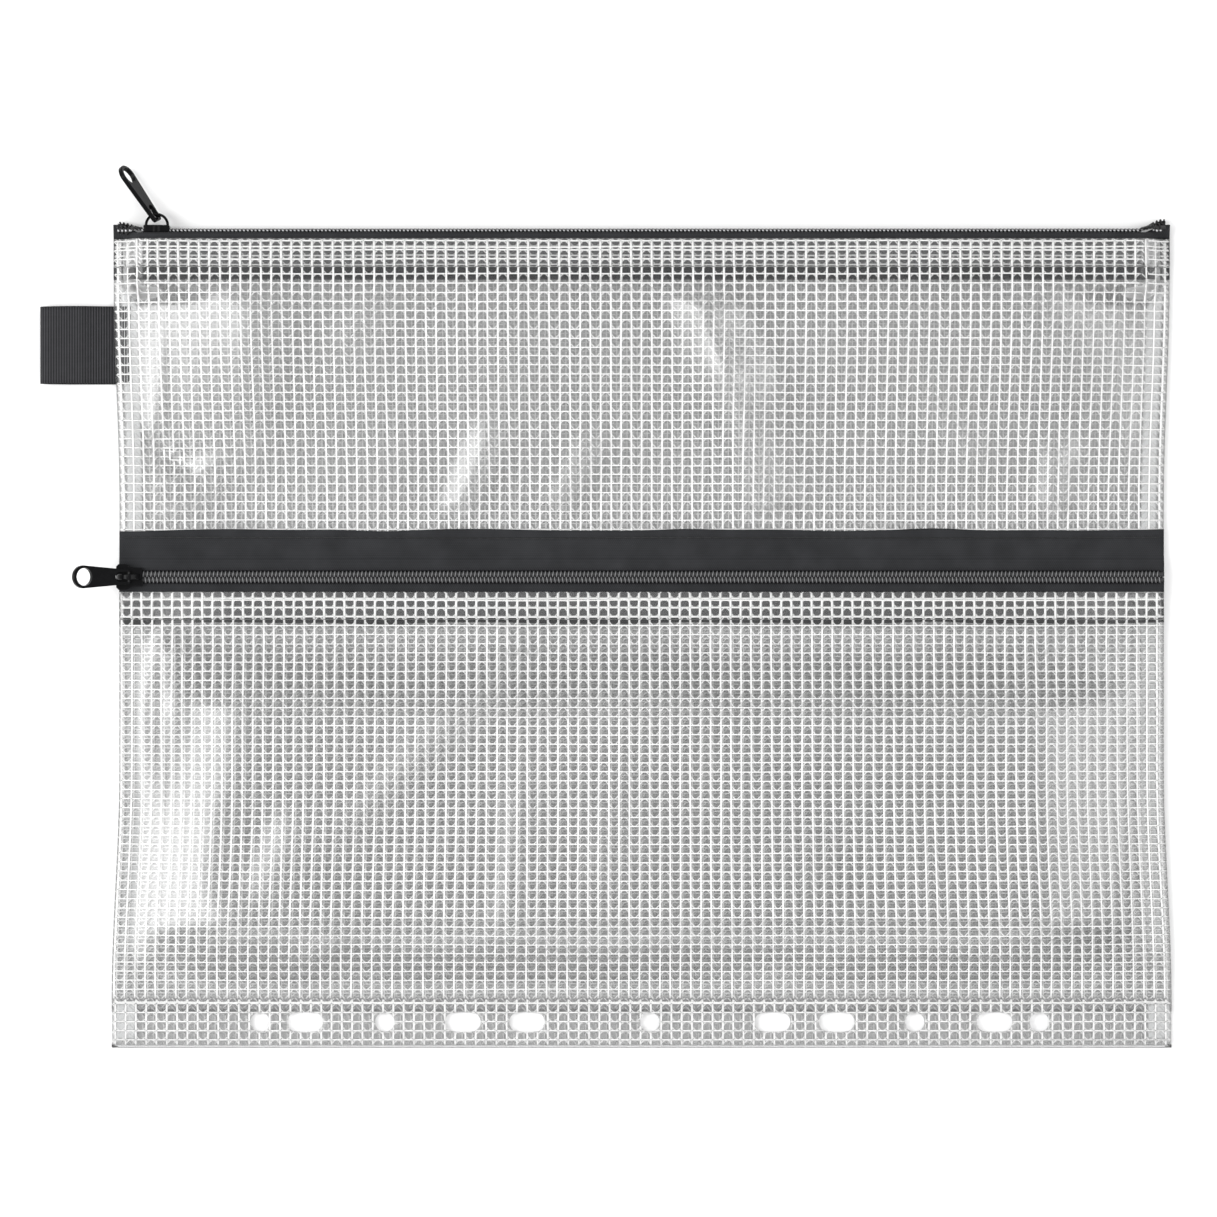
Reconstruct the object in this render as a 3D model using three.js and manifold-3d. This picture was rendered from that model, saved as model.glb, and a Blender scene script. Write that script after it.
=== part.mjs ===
// Zipper pouch of scrim-reinforced clear film with a ring-binder band.
// Millimetres. The pouch lies face up on the plane z = 0: +X right, +Y towards its mouth, +Z up.
import * as THREE from 'three';
import { mergeVertices } from 'three/addons/utils/BufferGeometryUtils.js';
import Module from 'manifold-3d';

const wasm = await Module();
wasm.setup();

// Pouch body
const pouchHeight = 252.2;
const pouchWidth = 321.6;
const mouthFlare = 3.6;
const footFlare = 4.8;
const flareStart = 40;
const cornerRadius = 1.5;
const filmThickness = 0.4;

// Side seams
const seamWidth = 7;
const bindingThickness = 1.2;
const bindingEndGap = 2.4;

// Binder band and its holes
const bandHeight = 14.9;
const bandLap = 3.8;
const bandSeat = 0.1;
const holeRadius = 3;
const slotLength = 11;
const holeRowHeight = 7.9;
const holePatternShift = 2.5;
const roundHoleOffsets = [0, 81.6, 120];
const slotOffsets = [37.8, 57.6, 106.2];
const holeSegments = 14;

// Hems of the film
const topHem = 8.8;
const pocketHem = 8.6;
const hemStep = 0.3;

// Zipper, both chains
const tapeThickness = 0.5;
const tapeGap = 1.8;
const coilThickness = 1.3;
const coilPitch = 1.2;
const coilHalfWidth = 2.25;
const toothReach = 0.7;
const toothGap = 0.3;
const meshLag = 1.5;
const backStride = 60;

// Slider
const sliderLength = 8;
const noseWidth = 7.9;
const tailWidth = 5.7;
const shoulderLength = 2.4;
const tailStraight = 2.5;
const noseChamfer = 0.7;
const plateThickness = 0.85;
const flangeThickness = 0.4;
const tapeSlot = 0.9;
const channelClearance = 0.15;
const sliderBevel = 0.22;
const postWidth = 0.9;
const postLength = 2.4;
const postShoulder = 0.4;
const postTip = 0.2;
const crownRadius = 3.75;
const crownWall = 0.8;
const crownWidth = 1.7;
const pivotHeight = 1.75;
const slideClearance = 0.25;
const cutOverrun = 1;
const arcSegments = 8;

// Pull tab
const pullLength = 19.7;
const pullTipWidth = 7.1;
const pullRootWidth = 4.3;
const pullThickness = 1.4;
const pullBevel = 0.2;
const pullHoleRadius = 2.75;
const pullTipWall = 1;
const windowWidth = 3.1;
const windowLength = 5;
const crossbarRadius = 0.6;

// Top zipper, standing edge-on above the mouth
const chainAboveFilm = 3.2;
const topTapeWidth = 18.2;
const tapeBendRadius = 0.45;
const slotMargin = 0.15;
const endPinch = 2;
const endRun = 6.5;
const endSettle = 1;
const endRise = 2.4;
const endTapeGap = 0.2;
const endCoilLift = 0.6;
const endTipDrop = 0.8;
const topPullRaise = 56;
const topPullRoll = 24;

// Pocket zipper, lying flat across the front
const pocketChainDrop = 107.2;
const upperTapeWidth = 13.6;
const lowerTapeWidth = 13.3;
const pocketFilmGap = 3.7;
const tapeRamp = 3;
const pocketSliderInset = 3.2;
const pocketPullRaise = 32;

// Fullness of the compartments
const mainDepth = 4.8;
const pocketDepth = 4.6;
const sideSlope = 34;
const backLift = 6;
const entryHeight = 14;
const bellyRise = 24;
const bellyFall = 28.7;
const valleyRun = 7.7;
const mouthApproach = 8;
const slopeShares = [9 / 34, 19 / 34, 1];
const bellyShares = [0, 43 / 158, 54 / 79, 1];
const valleyShares = [4 / 7, 1];

// Hanging loop
const loopWidth = 23.7;
const loopReach = 22.9;
const loopDrop = 35.7;
const loopThickness = 0.55;
const loopLayerGap = 0.1;
const loopOpening = 4.65;
const loopSewnDepth = 5;
const loopThroat = 10;
const loopSeamStep = 0.5;
const foldSteps = 8;

// Widths and heights that follow from the sizes above and the stack of layers
const topWidth = pouchWidth + mouthFlare;
const bottomWidth = pouchWidth + footFlare;
const topY = pouchHeight / 2;
const bottomY = -pouchHeight / 2;
const filmTopY = topY - chainAboveFilm;
const bandTopY = bottomY + bandHeight;
const pocketChainY = topY - pocketChainDrop;
const loopCentreY = topY - loopDrop;
const panelFootY = bandTopY - bandLap + bandSeat;
const seamTopZ = filmThickness + bindingThickness;
const slotHalf = noseWidth / 2 + slotMargin;
const legOffset = slotHalf + tapeBendRadius;
const chainZ = filmThickness + tapeThickness / 2 + legOffset;
const hemZ = chainZ + legOffset + tapeThickness / 2;
const topTapeY = topY - coilThickness - tapeThickness / 2;
const topTapeFootY = topTapeY + slotHalf - topTapeWidth;
const lowerPlateZ = -(tapeSlot + tapeThickness) / 2 - plateThickness;
const pocketTapeTopZ = seamTopZ + filmThickness + slideClearance - lowerPlateZ;
const pocketTapeZ = pocketTapeTopZ - tapeThickness;
const pocketFilmY = pocketChainY - tapeGap / 2 - pocketFilmGap;
const lowerTapeFootY = pocketChainY - tapeGap / 2 - lowerTapeWidth;
const upperTapeHeadY = pocketChainY + tapeGap / 2 + upperTapeWidth;
const tapeRampFootY = pocketChainY - slotHalf - tapeRamp;
const bellyTopY = lowerTapeFootY - bellyFall;
const valleyFootY = lowerTapeFootY - valleyRun;
const topSliderX = -topWidth / 2 + endPinch + endRun + endSettle + sliderLength / 2;
const pocketSliderX = -pouchWidth / 2 + pocketSliderInset;

// Materials, one for each kind of surface
const film = () => new THREE.MeshStandardMaterial({
  color: 0xdfe3e4, roughness: 0.22, metalness: 0, transparent: true, opacity: 0.45 });
const tape = () => new THREE.MeshStandardMaterial({ color: 0x26272a, roughness: 0.92, metalness: 0 });
const webbing = () => new THREE.MeshStandardMaterial({ color: 0x202124, roughness: 0.88, metalness: 0 });
const coil = () => new THREE.MeshStandardMaterial({ color: 0x17181a, roughness: 0.35, metalness: 0 });
const enamel = () => new THREE.MeshStandardMaterial({ color: 0x121315, roughness: 0.3, metalness: 0.55 });

const pouch = new THREE.Group();

// Adds one named piece to a group
function addPiece(name, geometry, material, parent = pouch) {
  const piece = new THREE.Mesh(geometry, material);
  piece.name = name;
  parent.add(piece);
  return piece;
}

// Smooth step from 0 to 1 between two values
function ramp(value, from, to) {
  const t = THREE.MathUtils.clamp((value - from) / (to - from), 0, 1);
  return t * t * (3 - 2 * t);
}

// Closed geometry from points and faces, turned so that its faces point outwards
function closedGeometry(points, faces) {
  let volume = 0;
  for (const [a, b, c] of faces) {
    volume += points[a].dot(new THREE.Vector3().crossVectors(points[b], points[c]));
  }
  const outward = volume > 0 ? faces : faces.map(([a, b, c]) => [a, c, b]);
  const geometry = new THREE.BufferGeometry();
  geometry.setAttribute('position', new THREE.Float32BufferAttribute(points.flatMap((p) => p.toArray()), 3));
  geometry.setIndex(outward.flat());
  geometry.computeVertexNormals();
  return geometry;
}

// Closed slab between two grids of points with the same rows and columns
function slab(lower, upper) {
  const rows = lower.length;
  const columns = lower[0].length;
  const size = rows * columns;
  const points = [...lower.flat(), ...upper.flat()];
  const faces = [];
  const quad = (a, b, c, d) => faces.push([a, b, c], [a, c, d]);
  const at = (row, column) => row * columns + column;
  for (let row = 0; row < rows - 1; row += 1) {
    for (let column = 0; column < columns - 1; column += 1) {
      const corners = [at(row, column), at(row, column + 1), at(row + 1, column + 1), at(row + 1, column)];
      quad(...corners.map((corner) => corner + size));
      quad(corners[0], corners[3], corners[2], corners[1]);
    }
  }
  for (let column = 0; column < columns - 1; column += 1) {
    const near = at(0, column);
    const far = at(rows - 1, column);
    quad(near, near + 1, near + 1 + size, near + size);
    quad(far + 1, far, far + size, far + 1 + size);
  }
  for (let row = 0; row < rows - 1; row += 1) {
    const left = at(row, 0);
    const right = at(row, columns - 1);
    quad(left + columns, left, left + size, left + columns + size);
    quad(right, right + columns, right + columns + size, right + size);
  }
  return closedGeometry(points, faces);
}

// Solid for cutting and joining, from a closed geometry
function solidOf(geometry) {
  const plain = geometry.clone();
  plain.deleteAttribute('normal');
  plain.deleteAttribute('uv');
  const merged = mergeVertices(plain, 1e-4);
  return new wasm.Manifold(new wasm.Mesh({
    numProp: 3,
    vertProperties: new Float32Array(merged.attributes.position.array),
    triVerts: new Uint32Array(merged.index.array),
  }));
}

// Geometry of a solid that was cut or joined
function geometryOf(solid) {
  const mesh = solid.getMesh();
  const geometry = new THREE.BufferGeometry();
  geometry.setAttribute('position', new THREE.Float32BufferAttribute(mesh.vertProperties, mesh.numProp));
  geometry.setIndex(Array.from(mesh.triVerts));
  geometry.computeVertexNormals();
  return geometry;
}

// Values at even steps from one to another, both among them
function evenly(from, to, steps) {
  return Array.from({ length: steps + 1 }, (_, step) => THREE.MathUtils.lerp(from, to, step / steps));
}

// Values at shares of the way from one to another
function between(from, to, shares) {
  return shares.map((share) => THREE.MathUtils.lerp(from, to, share));
}

// Outline pulled from one height to another, as a solid
function prism(shape, from, to, bevel = 0) {
  const geometry = new THREE.ExtrudeGeometry(shape, {
    depth: to - from - 2 * bevel,
    bevelEnabled: bevel > 0,
    bevelThickness: bevel,
    bevelSize: bevel,
    bevelOffset: -bevel,
    bevelSegments: 1,
    curveSegments: arcSegments,
  });
  return solidOf(geometry.translate(0, 0, from + bevel));
}

// Shape through a list of [x, y] corners
function polygon(corners) {
  return new THREE.Shape(corners.map(([x, y]) => new THREE.Vector2(x, y)));
}

// Half width of the pouch: narrow at the waist, flared towards the mouth and the foot
function halfWidth(y) {
  const above = ramp(y, flareStart, topTapeFootY);
  const below = ramp(-y, flareStart, -bandTopY);
  return (pouchWidth + above * mouthFlare + below * footFlare) / 2;
}

// Columns of the film: distances in from a side edge, close together where the film bends
const edgeColumns = [0, ...evenly(endPinch, endPinch + endRun, 5),
  ...between(seamWidth, seamWidth + sideSlope, slopeShares)];

// Points of one row across the pouch, at the heights that a function gives
function rowPoints(y, heightAt, columns) {
  const half = halfWidth(y);
  const left = columns.map((inset) => [-half + inset, inset]);
  const right = columns.map((inset) => [half - inset, inset]).reverse();
  return [...left, ...right].map(([x, inset]) => new THREE.Vector3(x, y, heightAt(inset, y)));
}

// Closed sheet of film or tape over a list of rows
function sheet(rows, lowerAt, thicknessAt, columns = edgeColumns) {
  const lower = rows.map((y) => rowPoints(y, lowerAt, columns));
  const upper = rows.map((y) => rowPoints(y, (inset, at) => lowerAt(inset, at) + thicknessAt(at), columns));
  return slab(lower, upper);
}

// How far the mouth is open at a distance in from a side edge
function mouthOpen(inset) {
  return ramp(inset, endPinch, endPinch + endRun);
}

// How full a compartment is at a distance in from a side edge
function fullness(inset) {
  return Math.sin(Math.PI / 2 * THREE.MathUtils.clamp((inset - seamWidth) / sideSlope, 0, 1));
}

// Rows of the film, shared by the panels so that they never cross
const footRows = [panelFootY, bandTopY, bandTopY + backLift, bandTopY + entryHeight,
  ...between(bandTopY + bellyRise, bellyTopY, bellyShares), ...between(bellyTopY, valleyFootY, valleyShares)];
const lowerTapeRows = [lowerTapeFootY, pocketFilmY - pocketHem, pocketFilmY - pocketHem + hemStep,
  tapeRampFootY, pocketFilmY];
const chestRows = [...evenly(upperTapeHeadY, topTapeFootY - mouthApproach, 5), topTapeFootY,
  filmTopY - topHem, filmTopY - topHem + hemStep, filmTopY];
const footFlareY = (bandTopY - flareStart) / 2;
const mouthFlareY = (flareStart + topTapeFootY) / 2;

// Share of the step from the side seams down into the binder band
function bandEntry(y) {
  return 1 - ramp(y, bandTopY, bandTopY + entryHeight);
}

// Lower face of the back panel: flat, lifted into the fold of the binder band
function backLower(inset, y) {
  return filmThickness * (1 - ramp(y, bandTopY, bandTopY + backLift));
}

// Lower face of the front panel
function frontLower(inset, y) {
  const foot = THREE.MathUtils.lerp(seamTopZ, 2 * filmThickness, bandEntry(y));
  const belly = ramp(y, bandTopY, bandTopY + bellyRise) * (1 - ramp(y, bellyTopY, valleyFootY));
  const chest = ramp(y, upperTapeHeadY, topTapeFootY);
  const nearMouth = ramp(y, topTapeFootY - mouthApproach, topTapeFootY);
  const sideways = THREE.MathUtils.lerp(fullness(inset), mouthOpen(inset), nearMouth);
  return foot + belly * fullness(inset) * (mainDepth + filmThickness - seamTopZ)
    + chest * sideways * (hemZ - seamTopZ);
}

// Lower face of the pocket zipper's tapes: level by the chain, sewn down beside it
function pocketTapeLower(inset, y) {
  const ground = seamTopZ + filmThickness;
  const inner = pocketChainY - slotHalf;
  const sewnUpper = ramp(y, pocketChainY + slotHalf, pocketChainY + slotHalf + tapeRamp);
  const sewnLower = ramp(-y, -inner, -inner + tapeRamp) * (1 - ramp(inset, seamWidth, sideSlope));
  return THREE.MathUtils.lerp(pocketTapeZ, ground, Math.max(sewnUpper, sewnLower));
}

// Lower face of the pocket panel
function pocketLower(inset, y) {
  if (y >= lowerTapeFootY) {
    return pocketTapeLower(inset, y) + tapeThickness;
  }
  const tapeFace = pocketTapeLower(inset, y) + tapeThickness - seamTopZ - filmThickness;
  const onTape = ramp(y, valleyFootY, lowerTapeFootY) * tapeFace;
  const belly = ramp(y, bandTopY, bandTopY + bellyRise) * (1 - ramp(y, bellyTopY, lowerTapeFootY));
  return frontLower(inset, y) + filmThickness + onTape + belly * fullness(inset) * pocketDepth;
}

// Thickness of the front panel, doubled at its hem
function frontThickness(y) {
  return y > filmTopY - topHem ? 2 * filmThickness : filmThickness;
}

// Thickness of the pocket panel, doubled at its hem
function pocketThickness(y) {
  return y > pocketFilmY - pocketHem ? 2 * filmThickness : filmThickness;
}

// Back panel
const backRows = [...footRows.slice(0, 3), footFlareY, -flareStart, flareStart, mouthFlareY, topTapeFootY,
  filmTopY];
addPiece('back_panel', sheet(backRows, backLower, () => filmThickness, [0]), film());

// Front panel
const frontRows = [...footRows, ...lowerTapeRows, ...chestRows];
addPiece('front_panel', sheet(frontRows, frontLower, frontThickness), film());

// Pocket panel
addPiece('pocket_panel', sheet([...footRows, ...lowerTapeRows], pocketLower, pocketThickness), film());

// Binder band: a folded strip with a slit for the panels, punched for binder rings
function binderBand() {
  const foot = bottomWidth / 2;
  const head = halfWidth(bandTopY);
  const outline = new THREE.Shape();
  outline.moveTo(-foot + cornerRadius, bottomY);
  outline.lineTo(foot - cornerRadius, bottomY);
  outline.quadraticCurveTo(foot, bottomY, foot, bottomY + cornerRadius);
  outline.lineTo(head, bandTopY);
  outline.lineTo(-head, bandTopY);
  outline.lineTo(-foot, bottomY + cornerRadius);
  outline.quadraticCurveTo(-foot, bottomY, -foot + cornerRadius, bottomY);
  const slit = new THREE.BoxGeometry(2 * bottomWidth, 2 * bandLap, 3 * filmThickness);
  slit.translate(0, bandTopY, 2.5 * filmThickness);
  return geometryOf(prism(outline, 0, 5 * filmThickness)
    .subtract(solidOf(slit))
    .subtract(ringHoles()));
}

// Round holes and slots of the binder pattern, as one cutting solid
function ringHoles() {
  const mirrored = (offsets) => offsets.flatMap((offset) => (offset ? [-offset, offset] : [0]));
  const punches = [
    ...mirrored(roundHoleOffsets).map((offset) => punch(offset, 0)),
    ...mirrored(slotOffsets).map((offset) => punch(offset, slotLength / 2 - holeRadius)),
  ];
  return punches.reduce((all, one) => all.add(one));
}

// One punch with round ends, half as long between its ends' centres as the given reach
function punch(offset, reach) {
  const outline = [];
  for (let step = 0; step < holeSegments; step += 1) {
    const angle = (step + 0.5) / holeSegments * 2 * Math.PI;
    const side = Math.sign(Math.cos(angle));
    outline.push([side * reach + holeRadius * Math.cos(angle), holeRadius * Math.sin(angle)]);
  }
  const centre = holePatternShift + offset;
  const placed = outline.map(([x, y]) => [x + centre, y + bottomY + holeRowHeight]);
  return prism(polygon(placed), -filmThickness, 6 * filmThickness);
}

addPiece('binder_band', binderBand(), film());

// Side bindings: strips in the side seams, the left one cut back for the ends of the loop
function sideBinding(side) {
  const rows = [bandTopY + entryHeight, footFlareY, -flareStart, flareStart, mouthFlareY,
    topTapeFootY - bindingEndGap];
  const outer = rows.map((y) => [side * halfWidth(y), y]);
  const inner = rows.map((y) => [side * (halfWidth(y) - seamWidth), y]).reverse();
  return prism(polygon([...outer, ...inner]), filmThickness, seamTopZ);
}

// Notch in the left binding that the sewn ends of the loop lie in
function loopNotch() {
  const half = loopWidth / 2 + 2 * bandSeat;
  const depth = loopSewnDepth + 2 * bandSeat;
  const notch = new THREE.BoxGeometry(2 * depth, 2 * half, 2 * bindingThickness);
  return solidOf(notch.translate(-halfWidth(loopCentreY), loopCentreY, seamTopZ - bindingThickness / 2));
}

addPiece('side_binding_left', geometryOf(sideBinding(-1).subtract(loopNotch())), film());
addPiece('side_binding_right', geometryOf(sideBinding(1)), film());

// Hanging loop: one ribbon folded back on itself, both ends in the left seam
function hangingLoop() {
  const edge = -halfWidth(loopCentreY);
  const sewn = edge + loopSewnDepth;
  const middle = filmThickness + bindingThickness / 2;
  const layer = (loopThickness + loopLayerGap) / 2;
  const low = loopThickness / 2;
  const bend = (loopOpening + loopThickness) / 2;
  const foldX = edge - loopReach + bend + low;
  const route = [[sewn, middle - layer], [edge, middle - layer], [edge - loopThroat / 2, low]];
  for (let step = 0; step <= foldSteps; step += 1) {
    const angle = Math.PI * step / foldSteps;
    route.push([foldX - bend * Math.sin(angle), low + bend - bend * Math.cos(angle)]);
  }
  route.push([edge - loopThroat, low + 2 * bend]);
  route.push([edge - loopSeamStep, middle + layer], [sewn, middle + layer]);
  return ribbon(route, loopCentreY - loopWidth / 2, loopCentreY + loopWidth / 2, loopThickness);
}

// Ribbon of even thickness along a route in the XZ plane, from one Y to another
function ribbon(route, fromY, toY, thickness) {
  const place = (x, z) => [new THREE.Vector3(x, fromY, z), new THREE.Vector3(x, toY, z)];
  const sides = offsetSides(route, thickness / 2);
  return slab(sides.map(({ inner }) => place(...inner)), sides.map(({ outer }) => place(...outer)));
}

// Points at an even distance on both sides of a route in a plane
function offsetSides(route, distance) {
  return route.map(([a, b], index) => {
    const before = route[Math.max(index - 1, 0)];
    const after = route[Math.min(index + 1, route.length - 1)];
    const arriving = new THREE.Vector2(a - before[0], b - before[1]).normalize();
    const leaving = new THREE.Vector2(after[0] - a, after[1] - b).normalize();
    const along = arriving.clone().add(leaving).normalize();
    const bend = Math.max(along.dot(index > 0 ? arriving : leaving), 0.5);
    const reach = distance / bend;
    return {
      inner: [a + along.y * reach, b - along.x * reach],
      outer: [a - along.y * reach, b + along.x * reach],
    };
  });
}

addPiece('hanging_loop', hangingLoop(), webbing());

// Route of one top tape in the YZ plane at a distance in from a side edge, from its coil edge to
// its sewn edge. Along the mouth it turns down beside the slider; at the ends both lie flat.
function topTapeRoute(side, inset) {
  const open = mouthOpen(inset);
  const bendLength = tapeBendRadius * Math.PI / 2;
  const legLength = topTapeY - tapeBendRadius - topTapeFootY;
  const flatRun = slotHalf - tapeGap / 2;
  const corner = tapeBendRadius * (1 - Math.SQRT1_2);
  const stations = [
    { along: 0, y: topTapeY, z: tapeGap / 2 },
    { along: flatRun, y: topTapeY, z: slotHalf },
    { along: flatRun + bendLength / 2, y: topTapeY - corner, z: legOffset - corner },
    { along: flatRun + bendLength, y: topTapeY - tapeBendRadius, z: legOffset },
    { along: flatRun + bendLength + tapeBendRadius, y: filmTopY + hemStep, z: legOffset },
    { along: flatRun + bendLength + legLength, y: topTapeFootY, z: legOffset },
  ];
  const length = stations.at(-1).along;
  const foldedZ = filmThickness + (side > 0 ? 1.5 * tapeThickness + endTapeGap : tapeThickness / 2);
  return stations.map(({ along, y, z }, index) => {
    const raised = Math.max(1 - along / stations[4].along, 0);
    const flatY = index < 4 ? topTapeFootY + length - along - endTipDrop * (1 - along / length) : y;
    const flatZ = foldedZ + endRise * raised;
    return [THREE.MathUtils.lerp(flatY, y, open), THREE.MathUtils.lerp(flatZ, chainZ + side * z, open)];
  });
}

// Insets of the top zipper's cross-sections, from the left edge to the right edge
function topStations() {
  const half = topWidth / 2;
  const left = edgeColumns.map((inset) => -half + inset);
  const right = edgeColumns.map((inset) => half - inset).reverse();
  return [...left, ...right];
}

// One top tape, swept along the mouth
function topTape(side) {
  const sections = topStations().map((x) => {
    const sides = offsetSides(topTapeRoute(side, topWidth / 2 - Math.abs(x)), tapeThickness / 2);
    return {
      lower: sides.map(({ inner }) => new THREE.Vector3(x, ...inner)),
      upper: sides.map(({ outer }) => new THREE.Vector3(x, ...outer)),
    };
  });
  return slab(sections.map(({ lower }) => lower), sections.map(({ upper }) => upper));
}

addPiece('top_tape_front', topTape(1), tape());
addPiece('top_tape_back', topTape(-1), tape());

// Frame of a coil on a top tape: where its centre line lies, which way its tape runs, and its face
function topCoilFrame(side) {
  return (x) => {
    const stations = topStations();
    const next = THREE.MathUtils.clamp(stations.findIndex((at) => at >= x), 1, stations.length - 1);
    const share = (x - stations[next - 1]) / (stations[next] - stations[next - 1]);
    const around = [stations[next - 1], stations[next]];
    const routes = around.map((at) => topTapeRoute(side, topWidth / 2 - Math.abs(at)));
    const [edge, out] = [0, 1].map((point) => new THREE.Vector3(
      x,
      THREE.MathUtils.lerp(routes[0][point][0], routes[1][point][0], share),
      THREE.MathUtils.lerp(routes[0][point][1], routes[1][point][1], share),
    ));
    const lateral = out.sub(edge).normalize();
    const face = new THREE.Vector3(0, side * lateral.z, -side * lateral.y);
    const inset = topWidth / 2 - Math.abs(x);
    const settled = ramp(inset, endPinch + endRun, endPinch + endRun + endSettle);
    const lift = tapeThickness / 2 + endCoilLift * (1 - settled);
    const origin = edge.clone().addScaledVector(lateral, -tapeGap / 2).addScaledVector(face, lift);
    return { origin, lateral, face };
  };
}

// Frame of a coil on the pocket zipper
function pocketCoilFrame(side) {
  return (x) => ({
    origin: new THREE.Vector3(x, pocketChainY, pocketTapeTopZ),
    lateral: new THREE.Vector3(0, side, 0),
    face: new THREE.Vector3(0, 0, 1),
  });
}

// How far each row of teeth is parted by the slider's post, at x beside the slider's centre
function parting(x, sliderX) {
  const widest = postWidth / 2 + toothReach - toothGap / 2 + channelClearance / 2;
  const atTip = widest - postWidth / 2 + channelClearance;
  const nose = sliderX - sliderLength / 2;
  const tip = nose + postLength;
  const meshed = sliderX + meshLag;
  if (x > tip) {
    return atTip * THREE.MathUtils.clamp((meshed - x) / (meshed - tip), 0, 1);
  }
  return THREE.MathUtils.lerp(widest, atTip, THREE.MathUtils.clamp((x - nose) / (tip - nose), 0, 1));
}

// Coil of one tape as a comb: its zigzag edge fits between the teeth of the other row
function coilComb(side, fromX, toX, sliderX, frameAt) {
  const edgeXs = [];
  const steps = Math.round((toX - fromX) / (coilPitch / 2));
  for (let step = 0; step <= steps; step += 1) {
    edgeXs.push(fromX + step * coilPitch / 2);
  }
  const bends = (x) => Math.min(x - fromX, toX - x) < endPinch + endRun + coilPitch
    || Math.abs(x - sliderX) < sliderLength / 2 + coilPitch;
  const keeps = (x, index) => index % (bends(x) ? 2 : backStride) === 0 || x === edgeXs.at(-1);
  const backXs = edgeXs.filter(keeps);
  const place = (x, across, height) => {
    const { origin, lateral, face } = frameAt(x);
    const parted = across + parting(x, sliderX);
    return origin.clone().addScaledVector(lateral, parted).addScaledVector(face, height);
  };
  const toothAt = (index) => toothGap / 2 + (index % 2 === 0 ? 1 : -1) * side * toothReach;
  const loops = [0, coilThickness].map((height) => ({
    edge: edgeXs.map((x, index) => place(x, toothAt(index), height)),
    back: backXs.map((x) => place(x, coilHalfWidth, height)),
  }));
  return combGeometry(loops, edgeXs, backXs);
}

// Closed comb from its lower and upper outline, each an edge and a back along x
function combGeometry(loops, edgeXs, backXs) {
  const points = loops.flatMap(({ edge, back }) => [...edge, ...back]);
  const half = edgeXs.length + backXs.length;
  const back = edgeXs.length;
  const faces = [];
  let e = 0;
  let b = 0;
  while (e < edgeXs.length - 1 || b < backXs.length - 1) {
    const edgeNext = b === backXs.length - 1 || (e < edgeXs.length - 1 && edgeXs[e + 1] <= backXs[b + 1]);
    const face = edgeNext ? [e, e + 1, back + b] : [e, back + b + 1, back + b];
    faces.push(face, [face[0] + half, face[2] + half, face[1] + half]);
    e += edgeNext ? 1 : 0;
    b += edgeNext ? 0 : 1;
  }
  const wall = (from, to) => faces.push([from, from + half, to], [to, from + half, to + half]);
  for (let index = 0; index < edgeXs.length - 1; index += 1) {
    wall(index, index + 1);
  }
  for (let index = 0; index < backXs.length - 1; index += 1) {
    wall(back + index + 1, back + index);
  }
  wall(back, 0);
  wall(edgeXs.length - 1, back + backXs.length - 1);
  return closedGeometry(points, faces);
}

const topEnd = topWidth / 2 - endPinch / 4;
const topCoil = (side) => coilComb(side, -topEnd, topEnd, topSliderX, topCoilFrame(side));
addPiece('top_coil_front', topCoil(1), coil());
addPiece('top_coil_back', topCoil(-1), coil());

// Tapes of the pocket zipper
const upperTapeRows = [pocketChainY + tapeGap / 2, pocketChainY + slotHalf,
  pocketChainY + slotHalf + tapeRamp, upperTapeHeadY];
const coilEdgeRows = [pocketChainY - slotHalf, pocketChainY - tapeGap / 2];
const upperTape = sheet(upperTapeRows, pocketTapeLower, () => tapeThickness);
const lowerTape = sheet([...lowerTapeRows, ...coilEdgeRows], pocketTapeLower, () => tapeThickness);
addPiece('pocket_tape_upper', upperTape, tape());
addPiece('pocket_tape_lower', lowerTape, tape());

const pocketEnd = pouchWidth / 2;
const pocketCoil = (side) => coilComb(side, -pocketEnd, pocketEnd, pocketSliderX, pocketCoilFrame(side));
addPiece('pocket_coil_upper', pocketCoil(1), coil());
addPiece('pocket_coil_lower', pocketCoil(-1), coil());

// Outline of the slider seen from above, wide at its nose, with its walls drawn in by an inset
function sliderOutline(inset, overrun) {
  const nose = -sliderLength / 2 - overrun;
  const tail = sliderLength / 2 + overrun;
  const shoulder = -sliderLength / 2 + shoulderLength;
  const waist = sliderLength / 2 - tailStraight;
  const wide = noseWidth / 2 - inset;
  const narrow = tailWidth / 2 - inset;
  const chamfer = overrun > 0 ? 0 : noseChamfer;
  const middle = (shoulder + waist) / 2;
  const outline = new THREE.Shape();
  outline.moveTo(tail, -narrow);
  outline.lineTo(tail, narrow);
  outline.lineTo(waist, narrow);
  outline.bezierCurveTo(middle, narrow, middle, wide, shoulder, wide);
  outline.lineTo(nose + chamfer, wide);
  outline.lineTo(nose, wide - chamfer);
  outline.lineTo(nose, -wide + chamfer);
  outline.lineTo(nose + chamfer, -wide);
  outline.lineTo(shoulder, -wide);
  outline.bezierCurveTo(middle, -wide, middle, -narrow, waist, -narrow);
  return outline;
}

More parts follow.
